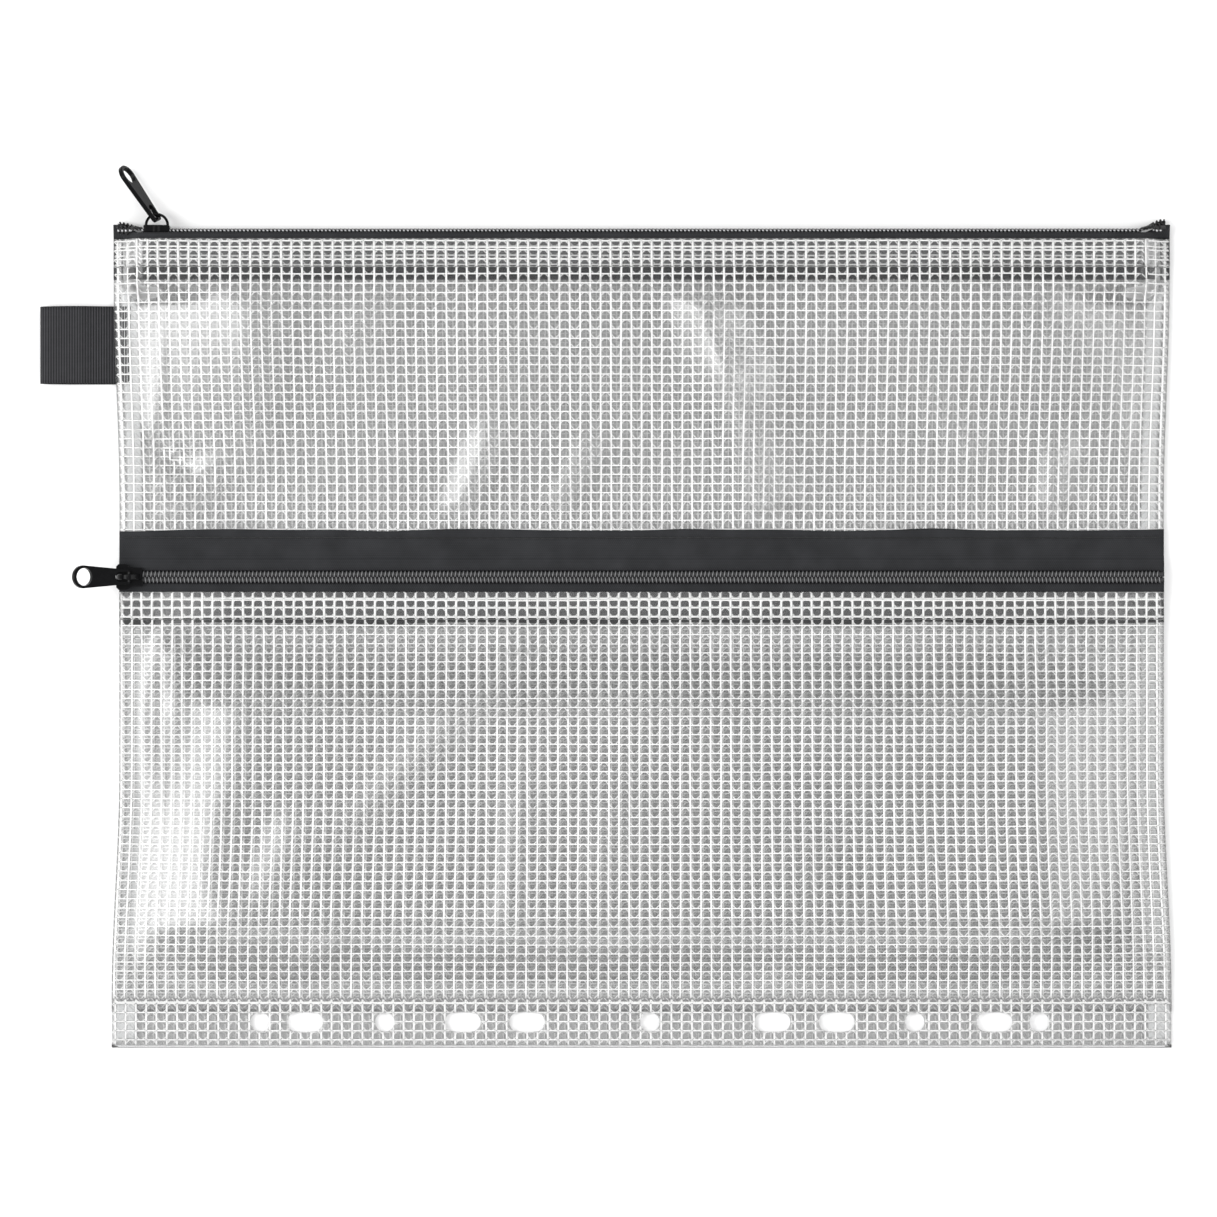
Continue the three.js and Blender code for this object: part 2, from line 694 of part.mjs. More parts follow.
// Slider: two plates joined by a post at the nose, walls over the coils, a slot for the tapes and
// a crown over the pull's crossbar. Its zero height is the face of the tapes.
function sliderGeometry() {
  const slotBottom = -(tapeSlot + tapeThickness) / 2;
  const slotTop = slotBottom + tapeSlot;
  const channelTop = coilThickness + channelClearance;
  const plateTop = channelTop + plateThickness;
  const nose = -sliderLength / 2;
  const postSide = [[nose - cutOverrun, postWidth / 2], [nose + postShoulder, postWidth / 2],
    [nose + postLength, postTip / 2]];
  const postOutline = [...postSide.map(([x, y]) => [x, -y]), ...postSide.reverse()];
  const post = prism(polygon(postOutline), slotBottom - cutOverrun, channelTop + cutOverrun);
  const slotBox = new THREE.BoxGeometry(2 * sliderLength, 2 * noseWidth, tapeSlot);
  const slot = solidOf(slotBox.translate(0, 0, (slotBottom + slotTop) / 2));
  const channel = prism(sliderOutline(flangeThickness, cutOverrun), slotBottom, channelTop);
  const body = prism(sliderOutline(0, 0), lowerPlateZ, plateTop, sliderBevel);
  return geometryOf(body.subtract(slot.add(channel).subtract(post)).add(crown(plateTop)));
}

// Crown: a half-round arch along the slider that holds the pull's crossbar
function crown(plateTop) {
  const outline = new THREE.Shape();
  const sunk = plateThickness / 2;
  outline.moveTo(crownRadius, -sunk);
  outline.lineTo(crownRadius, 0);
  outline.absarc(0, 0, crownRadius, 0, Math.PI, false);
  outline.lineTo(-crownRadius, -sunk);
  const inner = crownRadius - crownWall;
  outline.lineTo(-inner, -sunk);
  outline.lineTo(-inner, 0);
  outline.absarc(0, 0, inner, Math.PI, 0, true);
  outline.lineTo(inner, -sunk);
  const arch = new THREE.ExtrudeGeometry(outline, {
    depth: crownWidth - 2 * sliderBevel,
    bevelThickness: sliderBevel,
    bevelSize: sliderBevel,
    bevelOffset: -sliderBevel,
    bevelSegments: 1,
    curveSegments: arcSegments,
  });
  arch.translate(0, 0, sliderBevel - crownWidth / 2).rotateX(Math.PI / 2).translate(0, 0, plateTop);
  return solidOf(arch);
}

// Pull tab: a tapered plate with a round end and hole, and a window round the crown. It is drawn
// from its crossbar towards -X.
function pullGeometry() {
  const tipRadius = pullTipWidth / 2;
  const tipX = -pullLength + tipRadius;
  const outline = new THREE.Shape();
  outline.moveTo(0, -pullRootWidth / 2);
  outline.lineTo(0, pullRootWidth / 2);
  outline.lineTo(tipX, tipRadius);
  outline.absarc(tipX, 0, tipRadius, Math.PI / 2, 3 * Math.PI / 2, false);
  const plate = prism(outline, -pullThickness / 2, pullThickness / 2, pullBevel);
  const eye = new THREE.Shape();
  eye.absarc(-pullLength + pullTipWall + pullHoleRadius, 0, pullHoleRadius, 0, 2 * Math.PI, false);
  const window = new THREE.Shape();
  const side = windowWidth / 2;
  window.moveTo(pullRootWidth / 2, -side);
  window.lineTo(pullRootWidth / 2, side);
  window.lineTo(-windowLength + side, side);
  window.absarc(-windowLength + side, 0, side, Math.PI / 2, 3 * Math.PI / 2, false);
  const bar = new THREE.CylinderGeometry(crossbarRadius, crossbarRadius, pullRootWidth - 2 * pullBevel, 12);
  return geometryOf(plate
    .subtract(prism(eye, -pullThickness, pullThickness))
    .subtract(prism(window, -pullThickness, pullThickness))
    .add(solidOf(bar)));
}

// Puts a slider and its pull on a chain: the group's Z points out of the coils
function addSlider(name, position, turnX, raise, roll) {
  const group = new THREE.Group();
  group.position.set(...position);
  group.rotation.x = THREE.MathUtils.degToRad(turnX);
  pouch.add(group);
  addPiece(`${name}_slider`, sliderGeometry(), enamel(), group);
  const pull = addPiece(`${name}_pull`, pullGeometry(), enamel(), group);
  pull.position.z = coilThickness + channelClearance + plateThickness + pivotHeight;
  pull.rotation.set(THREE.MathUtils.degToRad(roll), THREE.MathUtils.degToRad(raise), 0, 'YXZ');
}

addSlider('top', [topSliderX, topTapeY + tapeThickness / 2, chainZ], -90, topPullRaise, topPullRoll);
addSlider('pocket', [pocketSliderX, pocketChainY, pocketTapeTopZ], 0, pocketPullRaise, 0);

export default pouch;
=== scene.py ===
"""Zipper pouch of scrim film: film, scrim, zippers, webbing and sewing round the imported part."""

import math
from functools import partialmethod

import bpy
import numpy as np
from bpy.props import FloatProperty, FloatVectorProperty, PointerProperty
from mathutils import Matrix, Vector


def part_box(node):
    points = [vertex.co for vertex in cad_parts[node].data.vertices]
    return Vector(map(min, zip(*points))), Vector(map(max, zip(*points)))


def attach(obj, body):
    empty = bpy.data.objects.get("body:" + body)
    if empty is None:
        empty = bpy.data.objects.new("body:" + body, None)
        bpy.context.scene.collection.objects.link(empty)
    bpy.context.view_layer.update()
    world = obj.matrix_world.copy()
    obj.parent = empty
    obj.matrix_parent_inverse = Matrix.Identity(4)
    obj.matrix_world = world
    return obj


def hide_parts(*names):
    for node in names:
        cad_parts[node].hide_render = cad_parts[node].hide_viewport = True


bl_info = {
    "name": "Zipper pouch",
    "version": (1, 0, 0),
    "blender": (4, 5, 0),
    "location": "3D View > Sidebar > Pouch",
    "description": "Builds the film, scrim, zippers, webbing and sewing of a zipper pouch",
    "category": "Add Mesh",
}

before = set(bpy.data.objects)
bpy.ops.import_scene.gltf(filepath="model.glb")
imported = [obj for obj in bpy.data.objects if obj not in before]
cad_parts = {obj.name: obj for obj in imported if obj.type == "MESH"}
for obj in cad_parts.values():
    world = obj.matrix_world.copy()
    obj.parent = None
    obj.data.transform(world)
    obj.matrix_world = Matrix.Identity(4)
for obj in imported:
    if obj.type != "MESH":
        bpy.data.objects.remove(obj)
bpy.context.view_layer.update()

MM = 0.001


def corners(node):
    """Lowest and highest corner of a CAD node, as arrays."""
    low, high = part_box(node)
    return np.array(low), np.array(high)


# Places that the frame gives
BAND_LOW, BAND_HIGH = corners("binder_band")
FRONT_LOW, FRONT_HIGH = corners("front_panel")
POCKET_TOP = corners("pocket_panel")[1][1]
LOOP_LOW, LOOP_HIGH = corners("hanging_loop")
TOP_TAPE_LOW, TOP_TAPE_HIGH = corners("top_tape_front")
UPPER_TAPE_TOP = corners("pocket_tape_upper")[1][1]
LOWER_TAPE_FOOT = corners("pocket_tape_lower")[0][1]
UPPER_COIL_LOW, UPPER_COIL_HIGH = corners("pocket_coil_upper")
LOWER_COIL_HIGH = corners("pocket_coil_lower")[1]
SEAM_TOP = corners("side_binding_right")[1][2]
TOP_SLIDER_LOW, TOP_SLIDER_HIGH = corners("top_slider")
POCKET_SLIDER_LOW, POCKET_SLIDER_HIGH = corners("pocket_slider")

# Widths and heights of the pouch
FOOT_HALF = BAND_HIGH[0]
MOUTH_HALF = TOP_TAPE_HIGH[0]
WAIST_HALF = UPPER_COIL_HIGH[0]
FLARE_START = 40 * MM
TOP_Y = -BAND_LOW[1]
BAND_TOP = BAND_HIGH[1]
PANEL_FOOT = FRONT_LOW[1]
FILM_TOP = FRONT_HIGH[1]
TAPE_FOOT = TOP_TAPE_LOW[1]
FILM = BAND_HIGH[2] / 5
HEM_Z = FRONT_HIGH[2] - 2 * FILM
SEAM_WIDTH = 7 * MM
TOP_HEM = 8.8 * MM
POCKET_HEM = 8.6 * MM

# Fullness of the compartments
MAIN_DEPTH = 4.8 * MM
POCKET_DEPTH = 4.6 * MM
SIDE_SLOPE = 34 * MM
BACK_LIFT = 6 * MM
ENTRY_HEIGHT = 14 * MM
BELLY_RISE = 24 * MM
BELLY_FALL = 28.7 * MM
CALM_RUN = 9 * MM
POCKET_CALM = 4 * MM
VALLEY_RUN = 7.7 * MM
MOUTH_APPROACH = 8 * MM
BELLY_TOP = LOWER_TAPE_FOOT - BELLY_FALL
VALLEY_FOOT = LOWER_TAPE_FOOT - VALLEY_RUN

# Zipper
CHAIN_Y = (UPPER_COIL_LOW[1] + LOWER_COIL_HIGH[1]) / 2
CHAIN_BASE = UPPER_COIL_LOW[2]
COIL_THICKNESS = UPPER_COIL_HIGH[2] - UPPER_COIL_LOW[2]
COIL_PITCH = 1.2 * MM
COIL_BACK = 2.25 * MM
COIL_REACH = 0.55 * MM
TAPE_THICKNESS = 0.5 * MM
TAPE_GAP = 1.8 * MM
TAPE_RAMP = 3 * MM
SLOT_HALF = (POCKET_SLIDER_HIGH[1] - POCKET_SLIDER_LOW[1]) / 2 + 0.15 * MM
TAPE_BEND = 0.45 * MM
LEG_OFFSET = SLOT_HALF + TAPE_BEND
CHAIN_Z = (TOP_SLIDER_LOW[2] + TOP_SLIDER_HIGH[2]) / 2
TOP_TAPE_Y = TOP_Y - COIL_THICKNESS - TAPE_THICKNESS / 2
END_PINCH = 2 * MM
END_RUN = 6.5 * MM
END_SETTLE = 1 * MM
END_RISE = 2.4 * MM
END_TAPE_GAP = 0.2 * MM
END_COIL_LIFT = 0.6 * MM
END_TIP_DROP = 0.8 * MM
HEM_STEP = 0.3 * MM
TAPE_RIB = 0.62 * MM
CORD_SHARE = 0.5
# Places along a chain from its slider's middle, and how far the coils stand off its line there
PARTING_PLACES = (-4 * MM, -1.6 * MM, 1.5 * MM)
PARTING = (1 * MM, 0.7 * MM, 0)
# Painted highlights on the coils' crests: their brightness, and the depth and reach of the highlighted part
CREST_HIGHLIGHT_GAIN = 1.33
TOP_HIGHLIGHT_GAIN = 3.6
TOP_HIGHLIGHT_DEPTH = 0.68 * MM
TOP_HIGHLIGHT_REACH = 0.4 * MM
POCKET_HIGHLIGHT_REACH = 0.16 * MM

# Scrim: how far its yarns keep from edges, the part of a pitch that its outermost warps keep, and
# the least length of a yarn and of a row of film
YARN_MARGIN = 0.4 * MM
HEM_YARN_MARGIN = 0.3 * MM
BAND_YARN_MARGIN = 0.6 * MM
EDGE_PART = 0.2
SHORTEST_YARN = 0.2 * MM
CLOSEST_ROW = 0.05 * MM

# Slack of films, tapes, yarns and stitches: the height of a sum of waves, its seed, its shortest
# and longest wave, and how many there are if not nine
BACK_SLACK = (0.45 * MM, 5, 38 * MM, 120 * MM)
CHEST_SLACK = (0.8 * MM, 11, 30 * MM, 110 * MM)
BELLY_SLACK = (0.7 * MM, 23, 34 * MM, 120 * MM)
POCKET_SLACK = (0.8 * MM, 31, 32 * MM, 120 * MM)
TAPE_SLACK = (0.3 * MM, 41, 18 * MM, 70 * MM, 6)
STITCH_SLACK = (0.15 * MM, 57, 20 * MM, 80 * MM, 6)
WARP_SLACK = (0.05 * MM, 71, 30 * MM, 90 * MM, 5)
WEFT_SLACK = (0.12 * MM, 73, 26 * MM, 110 * MM, 5)

# Sewing
HEM_STITCH_Y = 120.3 * MM
POCKET_STITCH_Y = 11.8 * MM
TAPE_STITCH_Y = 31 * MM
BAND_STITCH_Y = BAND_TOP - 0.9 * MM
STITCH = 2.8 * MM
FILM_THREAD = 0.42 * MM
TAPE_THREAD = 0.34 * MM
THREAD_INSET = 1.2 * MM

# Hanging loop
LOOP_THICKNESS = 0.55 * MM
LOOP_LAYER_GAP = 0.1 * MM
LOOP_RIB = 0.81 * MM
LOOP_THROAT = 10 * MM
LOOP_THROAT_BACK = 5 * MM
LOOP_SEAM_STEP = 0.5 * MM
LOOP_SKEW = 0.35 * MM

# Strips of milky film: the turned-in seams, and the welds at both ends of the binder band
SEAM_INSET = 2.3 * MM
SEAM_GAP = 0.1 * MM
WELD_INSETS = (0.6 * MM, SEAM_WIDTH + 0.4 * MM)
WELD_DROPS = (12.4 * MM, 1.2 * MM)
WELD_DEPTH = 0.3 * MM
WELD_THICKNESS = 0.2 * MM

# Stage: what the camera sees is a square of this side round this place
VIEW_CENTRE = (-10.2 * MM, 9.2 * MM)
VIEW_SIDE = 375 * MM
CAMERA_HEIGHT = 3.0
FLOOR_HALF = 6.0
FLOOR_THICKNESS = 5 * MM
FLOOR_GAP = 0.1 * MM

# Holes of the binder band: their middles from HOLE_SHIFT on to both sides, half a slot's straight
# length, and how far the plate round a hole and the cut yarns keep from its rim
HOLE_Y = BAND_LOW[1] + 7.9 * MM
HOLE_RADIUS = 3 * MM
HOLE_SHIFT = 2.5 * MM
ROUND_HOLES = [0, 81.6 * MM, 120 * MM]
SLOTS = [37.8 * MM, 57.6 * MM, 106.2 * MM]
SLOT_REACH = 2.5 * MM
HOLE_FRAME = 1.2 * MM
HOLE_TRIM = 0.15 * MM

# Folds that light catches on the film. Each is its middle x and y in mm, its direction in
# degrees, and its half length, half width and height in mm.
CHEST_FOLDS = [
    (22, 94, 106, 26, 8.0, 3.0),
    (33, 60, 102, 28, 9.5, 3.9),
    (-52, 49, 68, 17, 5.5, 1.9),
    (-20, 50, 62, 14, 5.5, 1.5),
    (128, 48, 88, 13, 6.5, 2.4),
    (96, 66, 130, 16, 6.0, 0.8),
    (-119, 82, 84, 30, 9.0, 1.7),
    (-84, 98, 60, 14, 6.0, 1.0),
    (-150, 82, 86, 26, 4.0, 1.1),
    (-140, 40, 25, 14, 4.0, 1.3),
]
POCKET_FOLDS = [
    (-66, -36, 44, 36, 7.0, 1.4),
    (-40, -5, 38, 14, 6.0, 1.1),
    (-92, -2, 58, 22, 6.0, 0.6),
    (-146, -10, 80, 34, 8.5, 2.9),
    (-8, -60, 80, 22, 7.0, 0.8),
    (-38, -68, 84, 24, 6.0, 0.9),
    (-100, -98, 50, 12, 5.5, 0.9),
    (122, -4, 62, 15, 6.5, 1.3),
    (-122, -66, 70, 16, 9.0, -1.9),
    (60, -82, 78, 20, 9.0, -0.9),
    (100, -70, 108, 24, 9.0, -0.9),
]
# The dent beside the left seam, as one sharp fold and its neighbour
DENT_CREASES = [
    (-147, 58, -38, 13, 3.2, -1.8),
    (-140, 50, 20, 12, 2.6, 1.2),
]


def ease(value, start, end):
    """Smooth step: 0 up to start, 1 past end, 3t^2 - 2t^3 between them."""
    t = np.clip((value - start) / (end - start), 0, 1)
    return t * t * (3 - 2 * t)


def lerp(a, b, share):
    """Straight mix of a and b."""
    return a + (b - a) * share


def half_width(y):
    """Half the pouch's width: the waist's, eased out towards the mouth and towards the foot."""
    above = ease(y, FLARE_START, TAPE_FOOT)
    below = ease(-y, FLARE_START, -BAND_TOP)
    return WAIST_HALF + above * (MOUTH_HALF - WAIST_HALF) + below * (FOOT_HALF - WAIST_HALF)


def waves(x, y, height, seed, shortest, longest, count=9):
    """Sum of sine waves whose lengths fall from longest to shortest, in seeded directions, up to
    about the height given. Each wave's own height goes with its length."""
    rng = np.random.default_rng(seed)
    lengths = np.geomspace(longest, shortest, count)
    turns = rng.uniform(0, np.pi, count)
    starts = rng.uniform(0, 2 * np.pi, count)
    along = x[..., None] * np.cos(turns) + y[..., None] * np.sin(turns)
    return (np.sin(2 * np.pi * along / lengths + starts) @ lengths) / lengths.sum() * 1.8 * height


def folded(x, y, folds, sharpness=2.0):
    """Height of a list of folds: each is height * exp(-|across / half width|^sharpness), fading
    out along its length by exp(-(along / half length)^4)."""
    cx, cy, turn, length, width, height = (np.array(column) for column in zip(*folds))
    turn = np.radians(turn)
    dx = x[..., None] - cx * MM
    dy = y[..., None] - cy * MM
    along = (dx * np.cos(turn) + dy * np.sin(turn)) / (length * MM)
    across = (dy * np.cos(turn) - dx * np.sin(turn)) / (width * MM)
    shape = np.exp(-np.abs(across) ** sharpness) * np.exp(-along ** 4)
    return (shape * height * MM).sum(-1)


def inset_of(x, y):
    """Distance in from the nearer side edge."""
    return half_width(y) - np.abs(x)


def fullness(inset):
    """How full a compartment is: a quarter sine from the seam to the side slope's end."""
    return np.sin(np.pi / 2 * np.clip((inset - SEAM_WIDTH) / SIDE_SLOPE, 0, 1))


def mouth_open(inset):
    """How far the mouth is open at a distance in from a side edge."""
    return ease(inset, END_PINCH, END_PINCH + END_RUN)


def calm(inset, y, low, high):
    """1 in the middle of a panel, easing to 0 at its side seams and at its lower and upper edge."""
    sides = ease(inset, SEAM_WIDTH * 0.8, SEAM_WIDTH + CALM_RUN)
    return sides * ease(y, low, low + CALM_RUN) * (1 - ease(y, high - CALM_RUN, high))


def back_height(x, y):
    """Lower face of the back film: flat on the ground with slack waves, lifted into the band."""
    inset = inset_of(x, y)
    loose = calm(inset, y, BAND_TOP + BACK_LIFT, FILM_TOP)
    slack = BACK_SLACK[0] + waves(x, y, *BACK_SLACK)
    return FILM * (1 - ease(y, BAND_TOP, BAND_TOP + BACK_LIFT)) + slack * loose


def front_height(x, y):
    """Lower face of the front film: the seams' height, plus a belly behind the pocket and a chest
    that rises to the mouth, plus waves and folds."""
    inset = inset_of(x, y)
    entry = 1 - ease(y, BAND_TOP, BAND_TOP + ENTRY_HEIGHT)
    foot = lerp(SEAM_TOP, 2 * FILM, entry)
    belly = ease(y, BAND_TOP, BAND_TOP + BELLY_RISE) * (1 - ease(y, BELLY_TOP, VALLEY_FOOT))
    chest = ease(y, UPPER_TAPE_TOP, TAPE_FOOT)
    near_mouth = ease(y, TAPE_FOOT - MOUTH_APPROACH, TAPE_FOOT)
    sideways = lerp(fullness(inset), mouth_open(inset), near_mouth)
    smooth = foot + belly * fullness(inset) * (MAIN_DEPTH + FILM - SEAM_TOP)
    smooth = smooth + chest * sideways * (HEM_Z - SEAM_TOP)
    loose = calm(inset, y, UPPER_TAPE_TOP, TAPE_FOOT)
    creased = folded(x, y, CHEST_FOLDS) + folded(x, y, DENT_CREASES, 1.2)
    relief = waves(x, y, *CHEST_SLACK) + creased
    behind = calm(inset, y, BAND_TOP + ENTRY_HEIGHT, VALLEY_FOOT)
    return smooth + relief * loose + waves(x, y, *BELLY_SLACK) * behind


def pocket_tape_height(x, y):
    """Lower face of the pocket zipper's tapes: level at the chain, sewn down beside it."""
    inset = inset_of(x, y)
    ground = SEAM_TOP + FILM
    sewn_upper = ease(y, CHAIN_Y + SLOT_HALF, CHAIN_Y + SLOT_HALF + TAPE_RAMP)
    lower_ramp = 1 - ease(y, CHAIN_Y - SLOT_HALF - TAPE_RAMP, CHAIN_Y - SLOT_HALF)
    sewn_lower = lower_ramp * (1 - ease(inset, SEAM_WIDTH, SIDE_SLOPE))
    level = CHAIN_BASE - TAPE_THICKNESS
    return lerp(level, ground, np.maximum(sewn_upper, sewn_lower))


def pocket_height(x, y):
    """Lower face of the pocket film: on the front film at the band, up over the pocket's own
    belly and onto the lower tape, plus waves and folds."""
    inset = inset_of(x, y)
    on_tape = pocket_tape_height(x, y) + TAPE_THICKNESS
    rise = ease(y, VALLEY_FOOT, LOWER_TAPE_FOOT) * (on_tape - SEAM_TOP - FILM)
    belly = ease(y, BAND_TOP, BAND_TOP + BELLY_RISE) * (1 - ease(y, BELLY_TOP, LOWER_TAPE_FOOT))
    loose = calm(inset, y, BAND_TOP + POCKET_CALM, LOWER_TAPE_FOOT)
    relief = waves(x, y, *POCKET_SLACK) + folded(x, y, POCKET_FOLDS)
    below = front_height(x, y) + FILM + rise + belly * fullness(inset) * POCKET_DEPTH + relief * loose
    return np.where(y >= LOWER_TAPE_FOOT, on_tape, below)


# Meshes

def mesh_of(points, groups):
    """Closed mesh from points and arrays of polygons, turned so that its volume is positive."""
    points = np.asarray(points, float).reshape(-1, 3)
    groups = [np.asarray(group) for group in groups if len(group)]
    volume = 0.0
    for group in groups:
        fan = points[group]
        for step in range(1, group.shape[1] - 1):
            volume += np.einsum("ij,ij->", fan[:, 0], np.cross(fan[:, step], fan[:, step + 1]))
    if volume < 0:
        groups = [group[:, ::-1] for group in groups]
    loops = np.concatenate([group.ravel() for group in groups])
    totals = np.concatenate([np.full(len(group), group.shape[1]) for group in groups])
    starts = np.concatenate([[0], np.cumsum(totals)[:-1]])
    mesh = bpy.data.meshes.new("piece")
    mesh.vertices.add(len(points))
    mesh.vertices.foreach_set("co", points.ravel())
    mesh.loops.add(len(loops))
    mesh.loops.foreach_set("vertex_index", loops.astype(np.int32))
    mesh.polygons.add(len(starts))
    mesh.polygons.foreach_set("loop_start", starts.astype(np.int32))
    mesh.polygons.foreach_set("use_smooth", np.ones(len(starts), bool))
    mesh.update(calc_edges=True)
    mesh.validate()
    return mesh


def slab_faces(rows, columns):
    """Quads of a closed slab: an upper grid, a lower grid and the four sides between them. The
    lower grid's points come first."""
    index = np.arange(rows * columns).reshape(rows, columns)
    size = rows * columns
    flat = np.stack([index[:-1, :-1], index[:-1, 1:], index[1:, 1:], index[1:, :-1]], -1).reshape(-1, 4)
    rim = np.concatenate([index[0, :], index[1:, -1], index[-1, -2::-1], index[-2:0:-1, 0]])
    after = np.roll(rim, -1)
    wall = np.stack([rim, after, after + size, rim + size], -1)
    return np.concatenate([flat[:, ::-1], flat + size, wall])


def keep_marks(mesh, marks):
    """Gives a mesh two numbers a point as its UV map."""
    corner = np.empty(len(mesh.loops), np.int32)
    mesh.loops.foreach_get("vertex_index", corner)
    layer = mesh.uv_layers.new(name="weave")
    layer.data.foreach_set("uv", marks[corner].ravel().astype(np.float32))


def slab_mesh(lower, upper, marks=None):
    """Closed slab between two grids of points, with marks, if given, kept for both."""
    rows, columns = lower.shape[:2]
    points = np.concatenate([lower.reshape(-1, 3), upper.reshape(-1, 3)])
    mesh = mesh_of(points, [slab_faces(rows, columns)])
    if marks is not None:
        keep_marks(mesh, np.concatenate([marks.reshape(-1, 2)] * 2))
    return mesh


def sheet_mesh(x, y, z, thickness, marks=None):
    """Closed slab of one thickness above a surface that grids of x, y and z give."""
    lower = np.stack([x, y, z + x * 0], -1)
    return slab_mesh(lower, lower + np.array([0, 0, thickness]), marks)


def unit(vectors):
    """Vectors made one long."""
    return vectors / np.linalg.norm(vectors, axis=-1, keepdims=True)


def tube_mesh(centres, across, upward, sides):
    """Closed tubes along paths of points, all with as many points. Each ring is the centre plus
    cos * across + sin * upward, so across and upward are half the tube's width and height."""
    paths, stations = centres.shape[:2]
    angles = np.arange(sides) * 2 * np.pi / sides
    ring = (centres[:, :, None] + np.cos(angles)[:, None] * across[:, :, None]
            + np.sin(angles)[:, None] * upward[:, :, None])
    index = np.arange(paths * stations * sides).reshape(paths, stations, sides)
    turned = np.roll(index, -1, 2)
    wall = np.stack([index[:, :-1], index[:, 1:], turned[:, 1:], turned[:, :-1]], -1).reshape(-1, 4)
    caps = np.concatenate([index[:, 0], index[:, -1, ::-1]])
    return mesh_of(ring, [wall, caps])


def along_path(centres, width, height, up=(0, 0, 1)):
    """Half widths across and upward for tubes along paths, square to each path's direction."""
    forward = unit(np.gradient(centres, axis=1))
    across = unit(np.cross(forward, np.broadcast_to(np.array(up, float), forward.shape)))
    upward = np.cross(across, forward)
    return across * width / 2, upward * height / 2


def new_piece(name, mesh, material, body="pouch", nodes=()):
    """Object of a finished mesh that rides on a body and stands for the CAD nodes named."""
    mesh.name = name
    mesh.materials.append(material)
    piece = bpy.data.objects.new(name, mesh)
    bpy.context.scene.collection.objects.link(piece)
    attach(piece, body)
    if nodes:
        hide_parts(*nodes)
    return piece


# Materials

class Tone:
    """A shader socket that is written with as a number: an operator adds its Math node."""

    def __init__(self, look, socket):
        self.look = look
        self.socket = socket

    def math(self, operation, *others):
        """Math node of this socket and others."""
        values = dict(enumerate([self, *others]))
        return self.look.node("ShaderNodeMath", {"operation": operation}, values)

    def flipped(self, operation, other):
        """Math node with the other value first."""
        return self.look.node("ShaderNodeMath", {"operation": operation}, {0: other, 1: self})

    __add__ = __radd__ = partialmethod(math, "ADD")
    __sub__ = partialmethod(math, "SUBTRACT")
    __rsub__ = partialmethod(flipped, "SUBTRACT")
    __mul__ = __rmul__ = partialmethod(math, "MULTIPLY")
    __truediv__ = partialmethod(math, "DIVIDE")
    __lt__ = partialmethod(math, "LESS_THAN")
    __gt__ = partialmethod(math, "GREATER_THAN")
    __abs__ = partialmethod(math, "ABSOLUTE")
    fract = partialmethod(math, "FRACT")
    least = partialmethod(math, "MINIMUM")
    most = partialmethod(math, "MAXIMUM")

    def ripple(self, length):
        """Sine wave from 0 to 1, one wave a length."""
        return (self * (2 * np.pi / length)).math("SINE") * 0.5 + 0.5


class Look:
    """A material whose nodes are added one by one."""

    def __init__(self, name):
        self.material = bpy.data.materials.new(name)
        self.material.use_nodes = True
        self.tree = self.material.node_tree
        self.tree.nodes.clear()
        self.end = self.tree.nodes.new("ShaderNodeOutputMaterial")

    def node(self, kind, settings=None, inputs=None, output=0):
        """Node of a type, with its settings set first and then its sockets' values or links."""
        made = self.tree.nodes.new(kind)
        for key, value in (settings or {}).items():
            if key == "stops":
                self.set_stops(made.color_ramp, value)
            else:
                setattr(made, key, value)
        for key, value in (inputs or {}).items():
            if isinstance(value, Tone):
                self.tree.links.new(value.socket, made.inputs[key])
            else:
                made.inputs[key].default_value = value
        return Tone(self, made.outputs[output])

    def set_stops(self, ramp, stops):
        """Stops of a colour ramp, each a place and a colour."""
        while len(ramp.elements) < len(stops):
            ramp.elements.new(1)
        for element, (place, colour) in zip(ramp.elements, stops):
            element.position = place
            element.color = colour

    def place(self, name="Object"):
        """Texture coordinates, and their x, y and z."""
        vector = self.node("ShaderNodeTexCoord", output=name)
        parts = [self.node("ShaderNodeSeparateXYZ", {}, {0: vector}, axis) for axis in range(3)]
        return vector, parts

    def noise(self, vector, size, detail=2.0):
        """Noise from 0 to 1 whose patches are about size across."""
        inputs = {"Vector": vector, "Scale": 1 / size, "Detail": detail}
        return self.node("ShaderNodeTexNoise", {}, inputs, "Fac")

    def blend(self, factor, first, second):
        """Colour mixed from two by a factor."""
        settings = {"data_type": "RGBA"}
        return self.node("ShaderNodeMix", settings, {0: factor, 6: first, 7: second}, 2)

    def bump(self, height, distance, strength=1.0):
        """Normal of a height from 0 to 1 that stands for a distance in metres."""
        inputs = {"Strength": strength, "Distance": distance, "Height": height}
        return self.node("ShaderNodeBump", {}, inputs)

    def opaque(self, colour, roughness, others=None):
        """Material of one Principled shader, with more sockets' values or links if given."""
        inputs = {"Base Color": colour, "Roughness": roughness, **(others or {})}
        return self.surface(self.node("ShaderNodeBsdfPrincipled", {}, inputs))

    def surface(self, shader):
        """Puts the last shader on the surface and gives back the material."""
        self.tree.links.new(shader.socket, self.end.inputs["Surface"])
        return self.material


def rgba(colour, share=1.0):
    """A share of a colour's three numbers, with alpha 1."""
    return (*(share * part for part in colour), 1.0)


